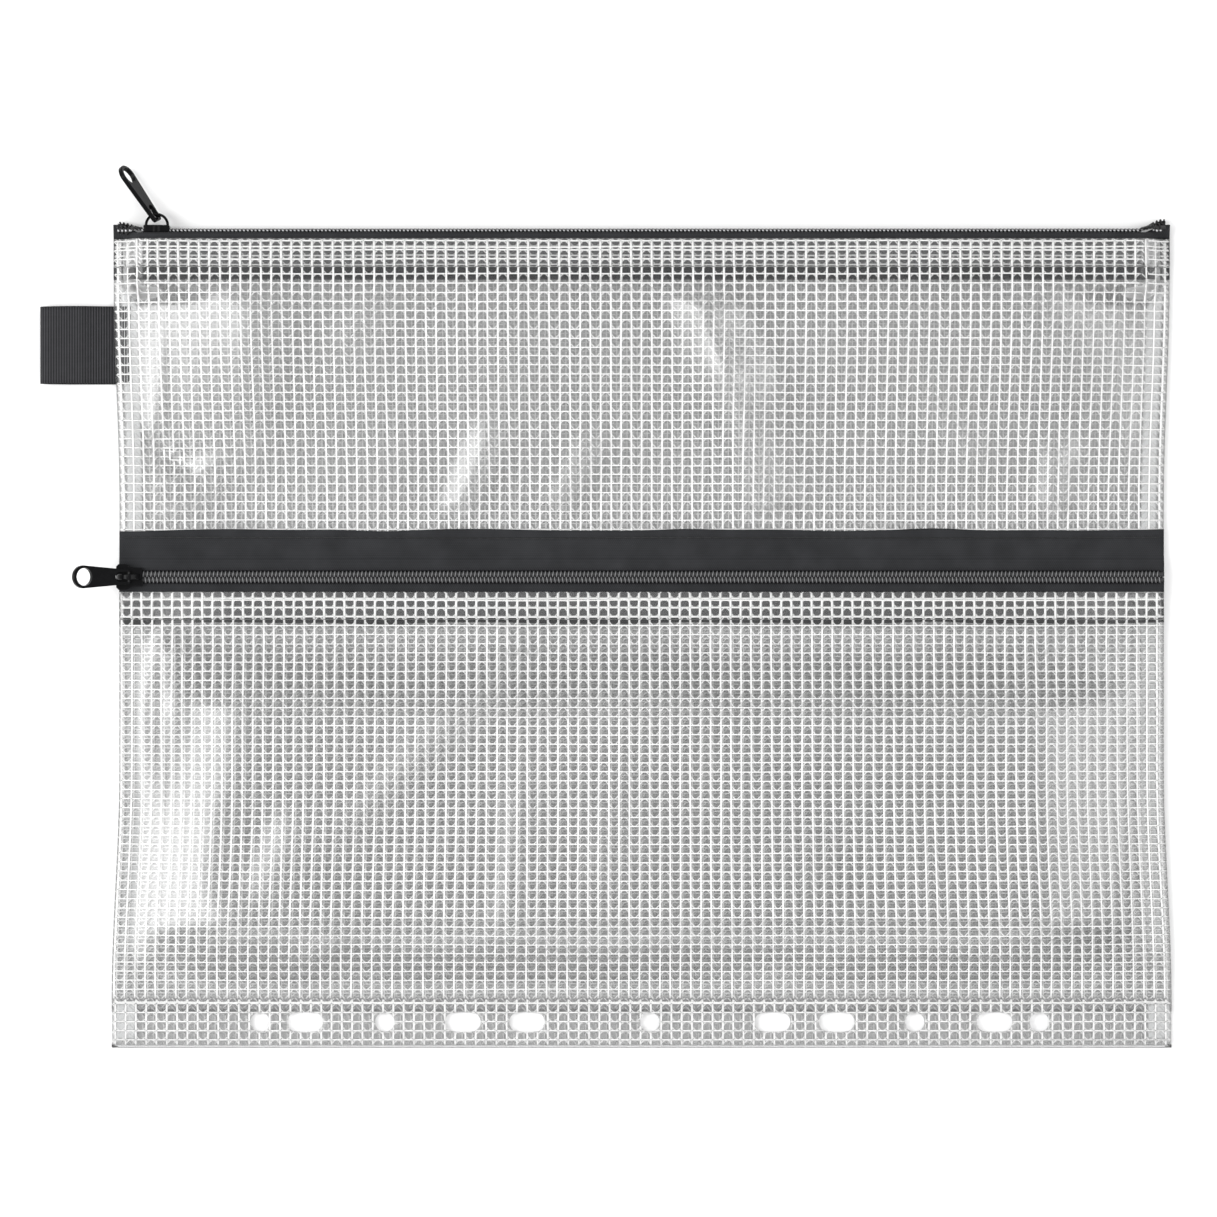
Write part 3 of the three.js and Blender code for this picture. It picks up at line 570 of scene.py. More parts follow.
def film_look(name, settings, haze, tint):
    """Clear film: a thin haze of a tint, a mirror coat that grows at grazing angles, and the fine
    binding threads that cut the corners of the scrim's openings, in columns that take turns."""
    look = Look(name)
    u, v = look.place("UV")[1][:2]
    scrim = settings.scrim
    beside = (u.fract()).least(1 - u.fract()) * scrim.pitch_x
    above = (1 - v.fract()) * scrim.pitch_y
    below = v.fract() * scrim.pitch_y
    odd = (u * 0.5).fract() > 0.5
    corner = above + odd * (below - above)
    thread = abs(beside + corner - scrim.corner_cut) < scrim.thread_width * 0.7
    patchy = look.noise(look.place()[0], 26 * MM)
    cloud = haze * (0.8 + patchy * 0.4)
    alpha = cloud + thread * (settings.thread_cover - cloud)
    colour = look.blend(thread, rgba(tint), rgba(settings.yarn_colour))
    body = look.node("ShaderNodeBsdfPrincipled", {}, {
        "Base Color": colour, "Roughness": 0.35, "Alpha": alpha, "IOR": 1.3})
    coat = look.node("ShaderNodeBsdfAnisotropic", {}, {
        "Color": (1, 1, 1, 1), "Roughness": settings.film_roughness})
    edge = look.node("ShaderNodeFresnel", {}, {"IOR": settings.film_ior})
    return look.surface(look.node("ShaderNodeMixShader", {}, {0: edge, 1: body, 2: coat}))


def yarn_look(settings):
    """White scrim yarn: flat bundles of filaments under a skin of film."""
    look = Look("scrim_yarn")
    vector = look.place()[0]
    streaks = look.noise(vector, 0.9 * MM, 3.0)
    colour = look.blend(streaks, rgba(settings.yarn_colour, 0.86), rgba(settings.yarn_colour))
    return look.opaque(colour, 0.38, {"Normal": look.bump(streaks, 0.03 * MM)})


def tape_look(name, colour, rib):
    """Woven zipper tape: a fine twill whose ribs slant one way and then the other, with lint."""
    look = Look(name)
    vector, (x, y, z) = look.place()
    ribs = (x + y * 0.55).ripple(rib)
    picks = (y + z).ripple(rib * 0.8)
    weave = ribs * 0.65 + picks * 0.35
    lint = look.noise(vector, 8 * MM, 5.0)
    shade = weave * 0.45 + lint * 0.55
    tone = look.blend(shade, rgba(colour, 0.3), rgba(colour, 2.3))
    return look.opaque(tone, 0.85, {"Specular IOR Level": 0.1, "Normal": look.bump(weave, 0.09 * MM)})


def webbing_look(colour, rib):
    """Grosgrain ribbon: painted shade between its cross ribs, with fine warp threads and lint."""
    look = Look("grosgrain")
    vector, (x, y, _) = look.place()
    # Painted shade: the colour is darker in the troughs between the cross ribs
    ribs = x.ripple(rib)
    warp = y.ripple(0.42 * MM)
    lint = look.noise(vector, 2.5 * MM, 5.0)
    shade = ribs * 0.7 + warp * 0.1 + lint * 0.2
    tone = look.blend(shade, rgba(colour, 0.1), rgba(colour, 2.6))
    return look.opaque(tone, 0.8, {"Specular IOR Level": 0.15, "Normal": look.bump(warp, 0.05 * MM)})


def coil_look(name, colour, highlight_colour, axis, level, reach):
    """Polyester coil wire: smooth and dark, with a painted highlight where each turn bulges, which is within
    a reach of a level along one axis."""
    look = Look(name)
    vector, parts = look.place()
    wear_and_glint = look.noise(vector, 3 * MM, 3.0)
    # Painted highlight: the crest of each turn is coloured lighter, and patchy noise varies its strength and
    # the roughness
    crest = (CREST_HIGHLIGHT_GAIN * (1 - abs(parts[axis] - level) / reach)).most(0.0).least(1.0)
    tone = look.blend(crest * (0.55 + wear_and_glint * 0.45), rgba(colour), rgba(highlight_colour))
    return look.opaque(tone, 0.18 + wear_and_glint * 0.14, {"Specular IOR Level": 0.25})


def thread_look(name, colour, sheen):
    """Sewing thread: two plies that show as slanting light and dark."""
    look = Look(name)
    x, y, z = look.place()[1]
    plies = (x + y + z).ripple(0.5 * MM)
    tone = look.blend(plies, rgba(colour, 0.7), rgba(colour))
    return look.opaque(tone, 0.5, {"Sheen Weight": sheen})


def enamel_look(colour):
    """Glossy enamel on die-cast metal, with light wear and orange peel."""
    look = Look("black_enamel")
    vector = look.place()[0]
    wear = look.noise(vector, 1.6 * MM, 6.0)
    tone = look.blend(wear, rgba(colour), rgba(colour, 2.2))
    peel = look.bump(look.noise(vector, 0.8 * MM), 0.02 * MM)
    return look.opaque(tone, 0.12 + wear * 0.12, {"Specular IOR Level": 0.07, "Normal": peel})


# Film and scrim

def panel_grid(low, high, marks_y, settings):
    """x and y of a panel's grid. Rows are half the scrim's pitch apart and also lie on the marks
    given; columns are half a pitch apart too, and fan out with the pouch's width."""
    scrim = settings.scrim
    count = int(round(2 * WAIST_HALF / scrim.pitch_x)) * 2
    rows = np.arange(low, high, scrim.pitch_y / 2)
    rows = np.unique(np.concatenate([rows, [low, high], marks_y]))
    rows = rows[np.diff(rows, prepend=-1) > CLOSEST_ROW]
    share = np.linspace(-1, 1, count + 1)
    y = np.broadcast_to(rows[:, None], (len(rows), count + 1))
    x = share[None, :] * half_width(y)
    return x, y


def scrim_marks(x, y, settings, shift):
    """Number of warp yarns and of weft yarns passed at x and y, where the yarns fan out with the
    pouch's width and a panel's own shift puts them a part of a pitch along."""
    scrim = settings.scrim
    u = (x / half_width(y) * WAIST_HALF) / scrim.pitch_x + shift[0]
    v = y / scrim.pitch_y + shift[1]
    return np.stack([u, v], -1)


def film_panel(name, height_at, low, high, marks_y, look, settings, shift, nodes=()):
    """Film over a panel's outline, from its lower face up by the film's thickness."""
    x, y = panel_grid(low, high, np.array(marks_y), settings)
    marks = scrim_marks(x, y, settings, shift)
    mesh = sheet_mesh(x, y, height_at(x, y), settings.film_thickness, marks)
    return new_piece(name, mesh, look, nodes=nodes)


def milky_strip(name, side, y, inset, low, high, settings, look, nodes=()):
    """Flat strip of milky film along a side edge, from one level to another."""
    grid_y, grid_in = np.meshgrid(y, inset, indexing="ij")
    x = side * (half_width(grid_y) - grid_in)
    marks = scrim_marks(x, grid_y, settings, SEAM_SHIFT)
    mesh = sheet_mesh(x, grid_y, low, high - low, marks)
    return new_piece(name, mesh, look, nodes=nodes)


def yarn_lines(name, centres, width, height, look):
    """Flat yarns or threads along lines of points, each end closed."""
    across, upward = along_path(centres, width, height)
    return new_piece(name, tube_mesh(centres, across, upward, 6), look)


def scrim_yarns(name, height_at, low, high, look, settings, shift, margin=YARN_MARGIN):
    """Warp and weft of one panel's scrim, through the middle of its film. Warp k stands where the
    marks count k, and weft j likewise."""
    scrim = settings.scrim
    limit = WAIST_HALF / scrim.pitch_x
    middle = settings.film_thickness / 2
    warp_marks = np.arange(math.ceil(-limit + shift[0] + EDGE_PART),
                           math.floor(limit + shift[0] - EDGE_PART) + 1)
    share = (warp_marks - shift[0]) * scrim.pitch_x / WAIST_HALF
    count = int(round((high - low) / scrim.pitch_y))
    rows = np.linspace(low + margin, high - margin, max(count, 2) + 1)
    y = np.broadcast_to(rows, (len(share), len(rows)))
    wander = waves(share[:, None] * 3 + y * 0, y, *WARP_SLACK)
    x = share[:, None] * half_width(y) + wander
    centres = np.stack([x, y, height_at(x, y) + middle], -1)
    yarn_lines(f"{name}_warp", centres, scrim.warp_width, scrim.yarn_height, look)
    weft_marks = np.arange(math.ceil((low + margin) / scrim.pitch_y + shift[1]),
                           math.floor((high - margin) / scrim.pitch_y + shift[1]) + 1)
    level = (weft_marks - shift[1]) * scrim.pitch_y
    columns = np.linspace(-1, 1, int(2 * limit) + 1)
    y = level[:, None] + np.zeros((1, len(columns)))
    x = columns[None, :] * (half_width(y) - margin)
    y = y + waves(x, y * 3, *WEFT_SLACK)
    y = np.clip(y, low + margin, high - margin)
    centres = np.stack([x, y, height_at(x, y) + middle], -1)
    yarn_lines(f"{name}_weft", centres, scrim.weft_width, scrim.yarn_height, look)


def raised(height_at, rise):
    """The same height, a film or more higher up."""
    return lambda x, y: height_at(x, y) + rise


# Binder band

def band_holes():
    """Middle x and straight half length of each hole of the binder band."""
    pairs = [(offset, 0.0) for offset in ROUND_HOLES] + [(offset, SLOT_REACH) for offset in SLOTS]
    both = {(side * offset, reach) for offset, reach in pairs for side in (-1, 1)}
    return sorted((HOLE_SHIFT + offset, reach) for offset, reach in both)


def hole_cell(middle, reach, low, high, z, thickness, steps=10):
    """Plate with one hole: its outer rim is a rectangle and its inner rim the hole's outline, with
    points matched by number. Returns points on a grid of (round, profile) and its quads."""
    half = HOLE_RADIUS + reach + HOLE_FRAME
    bottom, top = low - HOLE_Y, high - HOLE_Y
    line = np.linspace(-1, 1, 2 * steps + 1)[:-1]
    ones = np.ones_like(line)
    square = np.concatenate([np.stack([line, -ones], 1), np.stack([ones, line], 1),
                             np.stack([-line, ones], 1), np.stack([-ones, -line], 1)])
    outer = np.stack([square[:, 0] * half, np.where(square[:, 1] < 0, -square[:, 1] * bottom,
                                                    square[:, 1] * top)], 1)
    angle = np.arctan2(square[:, 1], square[:, 0])
    sideways = np.clip(np.cos(angle) * 3, -1, 1) * reach
    inner = np.stack([sideways + HOLE_RADIUS * np.cos(angle), HOLE_RADIUS * np.sin(angle)], 1)
    profile = [(outer, z + thickness), (inner, z + thickness), (inner, z), (outer, z)]
    points = np.stack([np.column_stack([ring, np.full(len(ring), level)]) for ring, level in profile], 1)
    points = points + np.array([middle, HOLE_Y, 0])
    index = np.arange(points.shape[0] * 4).reshape(-1, 4)
    after = np.roll(index, -1, 0)
    walls = [np.stack([index[:, k], after[:, k], after[:, (k + 1) % 4], index[:, (k + 1) % 4]], -1)
             for k in range(4)]
    return points.reshape(-1, 3), np.concatenate(walls), half


def flange_mesh(low, high, z, thickness, settings, shift):
    """One leaf of the binder band: plates with holes, and plain plates between them."""

    def plain(start, end):
        """Plate without a hole: its eight corners and six quads."""
        z_grid, y, x = np.meshgrid([z, z + thickness], [low, high], [start, end], indexing="ij")
        return np.stack([x, y, z_grid], -1).reshape(-1, 3), slab_faces(2, 2)

    plates, cursor = [], -FOOT_HALF
    for middle, reach in band_holes():
        cell, quads, half = hole_cell(middle, reach, low, high, z, thickness)
        plates += [plain(cursor, middle - half), (cell, quads)]
        cursor = middle + half
    plates.append(plain(cursor, FOOT_HALF))
    starts = np.cumsum([0] + [len(corner) for corner, quads in plates])
    points = np.concatenate([corner for corner, quads in plates])
    faces = [quads + start for (corner, quads), start in zip(plates, starts)]
    mesh = mesh_of(points, [np.concatenate(faces)])
    keep_marks(mesh, scrim_marks(points[:, 0], points[:, 1], settings, shift))
    mesh.set_sharp_from_angle(angle=math.radians(40))
    return mesh


def cut_runs(start, end, gaps):
    """Stretches from start to end that lie outside the gaps."""
    runs, cursor = [], start
    for low, high in sorted(gaps):
        if low > cursor:
            runs.append((cursor, min(low, end)))
        cursor = max(cursor, high)
    if cursor < end:
        runs.append((cursor, end))
    return [(low, high) for low, high in runs if high - low > SHORTEST_YARN]


def hole_chord(offset, reach, across_slot):
    """Half length of the cut that a hole makes in a line that passes its middle at an offset. A
    line across a slot meets its straight part or one round end."""
    if across_slot:
        past = max(abs(offset) - reach, 0)
        return math.sqrt(max(HOLE_RADIUS ** 2 - past ** 2, 0))
    if abs(offset) >= HOLE_RADIUS:
        return 0
    return reach + math.sqrt(HOLE_RADIUS ** 2 - offset ** 2)


def band_yarns(name, low, high, z, settings, shift, look):
    """Scrim of one leaf of the binder band, cut where the holes are punched."""
    scrim = settings.scrim
    warps, wefts = [], []
    edge = FOOT_HALF - YARN_MARGIN
    limit = (FOOT_HALF - BAND_YARN_MARGIN) * WAIST_HALF / FOOT_HALF / scrim.pitch_x
    for mark in range(math.ceil(-limit + shift[0]), math.floor(limit + shift[0]) + 1):
        x = (mark - shift[0]) * scrim.pitch_x / WAIST_HALF * FOOT_HALF
        cuts = [hole_chord(x - middle, reach, True) for middle, reach in band_holes()]
        gaps = [(HOLE_Y - cut - HOLE_TRIM, HOLE_Y + cut + HOLE_TRIM) for cut in cuts if cut > 0]
        warps += [((x, start, z), (x, end, z)) for start, end in cut_runs(low, high, gaps)]
    first = math.ceil(low / scrim.pitch_y + shift[1])
    last = math.floor(high / scrim.pitch_y + shift[1])
    for mark in range(first, last + 1):
        y = (mark - shift[1]) * scrim.pitch_y
        cuts = [(middle, hole_chord(y - HOLE_Y, reach, False)) for middle, reach in band_holes()]
        gaps = [(middle - cut - HOLE_TRIM, middle + cut + HOLE_TRIM) for middle, cut in cuts if cut > 0]
        wefts += [((start, y, z), (end, y, z)) for start, end in cut_runs(-edge, edge, gaps)]
    yarn_lines(f"{name}_warp", np.array(warps), scrim.warp_width, scrim.yarn_height, look)
    yarn_lines(f"{name}_weft", np.array(wefts), scrim.weft_width, scrim.yarn_height, look)


# Zipper

def top_tape_route(side, inset):
    """Centre line of a top tape in the YZ plane for each inset, from its coil edge to its sewn
    edge: level under the coil, round a bend and down the leg. At the ends of the mouth it is
    mixed with a flat lie."""
    bend = TAPE_BEND * math.pi / 2
    flat = SLOT_HALF - TAPE_GAP / 2
    turn = np.linspace(0, np.pi / 2, 5)
    leg_y = np.linspace(FILM_TOP + HEM_STEP, TAPE_FOOT, 8)
    along = np.concatenate([[0, flat / 2], flat + bend * turn / (np.pi / 2),
                            flat + bend + (TOP_TAPE_Y - TAPE_BEND - leg_y)])
    y = np.concatenate([[TOP_TAPE_Y, TOP_TAPE_Y], TOP_TAPE_Y - TAPE_BEND + TAPE_BEND * np.cos(turn), leg_y])
    z = np.concatenate([[TAPE_GAP / 2, (TAPE_GAP / 2 + SLOT_HALF) / 2], SLOT_HALF + TAPE_BEND * np.sin(turn),
                        np.full(len(leg_y), LEG_OFFSET)])
    length, leg_start = along[-1], along[-len(leg_y)]
    bent = along < leg_start - 1e-9
    lie_y = np.where(bent, TAPE_FOOT + length - along - END_TIP_DROP * (1 - along / length), y)
    folded_z = FILM + (1.5 * TAPE_THICKNESS + END_TAPE_GAP if side > 0 else TAPE_THICKNESS / 2)
    lie_z = folded_z + END_RISE * np.maximum(1 - along / leg_start, 0)
    open_here = mouth_open(inset)[:, None]
    return np.stack([lerp(lie_y, y, open_here), lerp(lie_z, CHAIN_Z + side * z, open_here)], -1)


def mouth_stations(count=110):
    """x of the cross-sections along the mouth, close together at both ends."""
    ends = np.linspace(0, END_PINCH + END_RUN + END_SETTLE, 22)
    left = -MOUTH_HALF + ends
    middle = np.linspace(left[-1], -left[-1], count)[1:-1]
    return np.concatenate([left, middle, -left[::-1]])


def section_offsets(route, distance):
    """Points at a distance to both sides of each route, square to its direction."""
    forward = unit(np.gradient(route, axis=1))
    normal = np.stack([-forward[..., 1], forward[..., 0]], -1)
    return route - normal * distance, route + normal * distance


def top_tape_mesh(side):
    """Top tape swept along the mouth."""
    x = mouth_stations()
    route = top_tape_route(side, MOUTH_HALF - np.abs(x))
    lower, upper = section_offsets(route, TAPE_THICKNESS / 2)
    across = np.broadcast_to(x[:, None, None], (*route.shape[:2], 1))
    return slab_mesh(np.concatenate([across, lower], -1), np.concatenate([across, upper], -1))


def top_coil_frame(side, x):
    """Origin, outward direction along the tape and face of the coil on a top tape, at each x."""
    inset = MOUTH_HALF - np.abs(x)
    route = top_tape_route(side, inset)
    edge, out = route[:, 0], route[:, 1]
    run = unit(out - edge)
    zero = np.zeros(len(x))
    lateral = np.column_stack([zero, run[:, 0], run[:, 1]])
    face = np.column_stack([zero, side * run[:, 1], -side * run[:, 0]])
    settled = ease(inset, END_PINCH + END_RUN, END_PINCH + END_RUN + END_SETTLE)
    lift = TAPE_THICKNESS / 2 + END_COIL_LIFT * (1 - settled)
    origin = np.column_stack([x, edge[:, 0], edge[:, 1]])
    origin = origin - lateral * TAPE_GAP / 2 + face * lift[:, None]
    return origin, lateral, face


def pocket_coil_frame(side, x):
    """Origin, outward direction and face of the coil on a pocket tape, at each x."""
    ones = np.ones(len(x))
    origin = np.column_stack([x, CHAIN_Y * ones, CHAIN_BASE * ones])
    return origin, np.outer(ones, [0, side, 0]), np.outer(ones, [0, 0, 1])


def parted_by(x, slider_x):
    """How far a coil stands off the chain's middle line: apart up to the slider's nose, together
    from just behind its post."""
    return np.interp(x - slider_x, PARTING_PLACES, PARTING)


def rounded(value, power):
    """A sine's value with blunter crests: its sign times |value|^power."""
    return np.sign(value) * np.abs(value) ** power


def cord_mesh(side, reach, frame_at, slider_x, sides=8):
    """Filler cord inside a coil: an oval tube through the middle of its turns."""
    x = np.linspace(-reach, reach, int(2 * reach / COIL_PITCH) * 2)
    origin, lateral, face = frame_at(side, x)
    shift = (COIL_BACK - COIL_REACH) / 2 + parted_by(x, slider_x)
    centres = origin + lateral * shift[:, None] + face * (COIL_THICKNESS / 2)
    width = (COIL_BACK + COIL_REACH) * CORD_SHARE
    across, upward = lateral * width / 2, face * COIL_THICKNESS * CORD_SHARE / 2
    return tube_mesh(centres[None], across[None], upward[None], sides)


def coil_mesh(side, reach, frame_at, slider_x, settings, steps=12, sides=6):
    """Coil wire: a flattened helix along x. Round each turn the wire goes across the tape by a
    rounded cosine and up by a rounded sine, and beside the slider's post the turns move apart."""
    turns = int(2 * reach / COIL_PITCH)
    phase = np.arange(turns * steps + 1) * 2 * np.pi / steps
    x = -reach + COIL_PITCH * (phase / (2 * np.pi) + (0 if side > 0 else 0.5))
    origin, lateral, face = frame_at(side, np.clip(x, -reach, reach))
    radius = settings.wire_width / 2
    middle, swing = (COIL_BACK - COIL_REACH) / 2, (COIL_BACK + COIL_REACH) / 2 - radius
    lean = np.cos(phase)
    rise = np.sin(phase)
    across = middle - swing * rounded(lean, 0.75)
    up = COIL_THICKNESS / 2 + (COIL_THICKNESS / 2 - radius) * rounded(rise, 0.6)
    shift = across + parted_by(x, slider_x)
    centres = origin + lateral * shift[:, None] + face * up[:, None]
    centres[:, 0] = x
    forward = unit(np.gradient(centres, axis=0))
    outward = face * rise[:, None] - lateral * lean[:, None]
    side_on = unit(np.cross(forward, outward))
    upward = np.cross(side_on, forward)
    return tube_mesh(centres[None], side_on[None] * radius, upward[None] * radius, sides)


# Webbing and sewing

def loop_path(edge):
    """Points along the middle of the folded ribbon in the XZ plane, a seventh of a rib apart: from
    the seam at the edge out along the ground, round the fold and back over itself. Corners are
    rounded by a mean over fifteen points."""
    low = LOOP_LOW[2] + LOOP_THICKNESS / 2
    bend = (LOOP_HIGH[2] - LOOP_LOW[2] - LOOP_THICKNESS) / 2
    seam = (FILM + SEAM_TOP) / 2
    layer = (LOOP_THICKNESS + LOOP_LAYER_GAP) / 2
    fold_x = LOOP_LOW[0] + LOOP_THICKNESS / 2 + bend
    turn = np.linspace(0, np.pi, 15)
    route = np.array([(LOOP_HIGH[0], seam - layer), (edge, seam - layer), (edge - LOOP_THROAT_BACK, low),
                      *zip(fold_x - bend * np.sin(turn), low + bend - bend * np.cos(turn)),
                      (edge - LOOP_THROAT, low + 2 * bend), (edge - LOOP_SEAM_STEP, seam + layer),
                      (LOOP_HIGH[0], seam + layer)])
    along = np.concatenate([[0], np.cumsum(np.linalg.norm(np.diff(route, axis=0), axis=1))])
    fine = np.linspace(0, along[-1], int(along[-1] / LOOP_RIB * 7))
    path = np.stack([np.interp(fine, along, route[:, 0]), np.interp(fine, along, route[:, 1])], 1)
    kernel = np.hanning(15) / np.hanning(15).sum()
    padded = np.pad(path, ((7, 7), (0, 0)), "edge")
    return fine, np.stack([np.convolve(padded[:, axis], kernel, "valid") for axis in (0, 1)], 1)


def loop_mesh():
    """Folded ribbon: the path to both sides by half its thickness, less at the cosine troughs
    between its ribs, and its back layer a little askew."""
    middle_y = (LOOP_LOW[1] + LOOP_HIGH[1]) / 2
    half = (LOOP_HIGH[1] - LOOP_LOW[1]) / 2
    fine, path = loop_path(-half_width(middle_y))
    ribs = LOOP_THICKNESS / 2 * (0.78 + 0.22 * np.cos(2 * np.pi * fine / LOOP_RIB))
    forward = unit(np.gradient(path, axis=0))
    normal = np.stack([-forward[:, 1], forward[:, 0]], 1)
    across = np.linspace(-1, 1, 13)
    skew = ease(1 - fine / fine[-1], 0.3, 0.7) * LOOP_SKEW
    y = middle_y + across[None, :] * half - skew[:, None]
    sides = []
    for sign in (-1, 1):
        line = path + normal * (sign * ribs)[:, None]
        sides.append(np.stack([np.broadcast_to(line[:, :1], y.shape), y,
                               np.broadcast_to(line[:, 1:], y.shape)], -1))
    return slab_mesh(*sides)


def stitched_line(name, x, y, z, width, look):
    """Row of stitches along points: one thread whose height follows |sin| of the way along, so
    that it dives between stitches."""
    step = np.hypot(np.diff(x), np.diff(y))
    along = np.concatenate([[0], np.cumsum(step)])
    arch = np.abs(np.sin(np.pi * along / STITCH)) ** 0.6
    return yarn_lines(name, np.stack([x, y, z + width * (arch - 0.35)], -1)[None], width, width, look)


# Settings that a user changes

def length_prop(name, description, default):
    """Property that holds a length."""
    return FloatProperty(name=name, description=description, default=default, unit="LENGTH")


def share_prop(name, description, default):
    """Property that holds a share from 0 to 1."""
    return FloatProperty(name=name, description=description, default=default, subtype="FACTOR")


def colour_prop(name, description, default):
    """Property that holds a colour."""
    return FloatVectorProperty(name=name, description=description, default=default, subtype="COLOR")


class ScrimSettings(bpy.types.PropertyGroup):
    """Sizes of the woven scrim inside the film"""

    pitch_x: length_prop("Warp pitch", "From one upright yarn to the next", 3.125 * MM)
    pitch_y: length_prop("Weft pitch", "From one level yarn to the next", 2.8 * MM)
    warp_width: length_prop("Warp width", "Width of an upright yarn", 0.76 * MM)
    weft_width: length_prop("Weft width", "Width of a level yarn", 0.52 * MM)
    yarn_height: length_prop("Yarn height", "Thickness of a flat yarn", 0.36 * MM)
    thread_width: length_prop("Thread width", "Width of a fine binding thread", 0.26 * MM)
    corner_cut: length_prop("Corner cut", "How far the binding thread cuts a corner", 1.2 * MM)


class PouchSettings(bpy.types.PropertyGroup):
    """Sizes and colours of the pouch's finish"""

    scrim: PointerProperty(type=ScrimSettings)
    film_thickness: length_prop("Film", "Thickness of one film", 0.3 * MM)
    # The films' haze is partly real and partly painted shade: its dark grey colour darkens what is seen
    # through the film in place of the shade inside and under the pouch, and the back film's stronger haze
    # adds more of it below
    back_haze: share_prop("Back haze", "Cover of one face of the back film", 0.11)
    front_haze: share_prop("Front haze", "Cover of one face of the front film", 0.055)
    pocket_haze: share_prop("Pocket haze", "Cover of one face of the pocket film", 0.03)
    seam_haze: share_prop("Seam haze", "Cover of one face of welded, milky film", 0.85)
    film_ior: FloatProperty(name="Film IOR", description="Index that sets how strongly film mirrors",
                            default=1.5)
    film_roughness: share_prop("Film roughness", "Blur of what film mirrors", 0.29)
    thread_cover: share_prop("Thread cover", "How solid the binding threads are", 0.65)
    wire_width: length_prop("Coil wire", "Diameter of the zipper's coil wire", 0.56 * MM)
    # Painted shade: the dark grey colour of the films' haze
    film_colour: colour_prop("Film colour", "Colour of the film's haze", (0.25, 0.255, 0.26))
    milk_colour: colour_prop("Milk colour", "Colour of welded, milky film", (0.84, 0.85, 0.85))
    yarn_colour: colour_prop("Yarn colour", "Colour of the scrim", (0.81, 0.81, 0.805))
    tape_colour: colour_prop("Tape colour", "Colour of the zipper tapes", (0.019, 0.0195, 0.021))
    webbing_colour: colour_prop("Webbing colour", "Colour of the loop", (0.022, 0.022, 0.024))
    coil_colour: colour_prop("Coil colour", "Colour of the coil wire", (0.012, 0.012, 0.013))
    # Painted highlight colour on the crests of the coil turns
    coil_highlight_colour: colour_prop("Coil crest colour", "Colour of rubbed coil wire", (0.2, 0.2, 0.205))
    enamel_colour: colour_prop("Enamel colour", "Colour of the sliders", (0.0025, 0.0025, 0.0028))
    white_thread: colour_prop("White thread", "Colour of the film's sewing", (0.86, 0.86, 0.85))
    key_power: FloatProperty(name="Key light", description="Power of the light at the left",
                             default=15.0, unit="POWER")
    sky: FloatProperty(name="Sky", description="Brightness of the light from all round",
                       default=0.9)


# Each panel's scrim stands a part of a pitch along from the others
BACK_SHIFT = (0.42, 0.35)
FRONT_SHIFT = (0.0, 0.0)
POCKET_SHIFT = (0.22, 0.6)
SEAM_SHIFT = (0.35, 0.45)
FRONT_HEM_SHIFT = (0.04, 0.4)
POCKET_HEM_SHIFT = (0.26, 0.66)
BAND_SHIFT = (0.1, 0.15)


class POUCH_OT_film(bpy.types.Operator):
    """Film and scrim of the back, front and pocket panels"""

    bl_idname = "pouch.film"
    bl_label = "Film panels"

    def execute(self, context):
        settings = context.scene.pouch
        yarn = yarn_look(settings)
        panels = [("back", back_height, FILM_TOP, [BAND_TOP, BAND_TOP + BACK_LIFT], BACK_SHIFT,
                   settings.back_haze),
                  ("front", front_height, FILM_TOP, [BAND_TOP], FRONT_SHIFT, settings.front_haze),
                  ("pocket", pocket_height, POCKET_TOP, [BAND_TOP], POCKET_SHIFT, settings.pocket_haze)]
        for name, height_at, high, marks_y, shift, haze in panels:
            look = film_look(f"{name}_film", settings, haze, settings.film_colour)
            film_panel(f"{name}_film", height_at, PANEL_FOOT, high, marks_y, look, settings, shift,
                       [f"{name}_panel"])
            scrim_yarns(f"{name}_scrim", height_at, BAND_TOP, high, yarn, settings, shift)
        return {"FINISHED"}


class POUCH_OT_hems(bpy.types.Operator):
    """Turned-over hems of the front and pocket films"""

    bl_idname = "pouch.hems"
    bl_label = "Hems"

    def execute(self, context):
        settings = context.scene.pouch
        clear = bpy.data.materials["pocket_film"]
        yarn = bpy.data.materials["scrim_yarn"]
        hems = [("front_hem", front_height, FILM_TOP - TOP_HEM, FILM_TOP, FRONT_HEM_SHIFT),
                ("pocket_hem", pocket_height, POCKET_TOP - POCKET_HEM, POCKET_TOP, POCKET_HEM_SHIFT)]
        for name, height_at, low, high, shift in hems:
            over = raised(height_at, FILM)
            film_panel(name, over, low, high, [], clear, settings, shift)
            scrim_yarns(f"{name}_scrim", over, low, high, yarn, settings, shift, HEM_YARN_MARGIN)
        return {"FINISHED"}


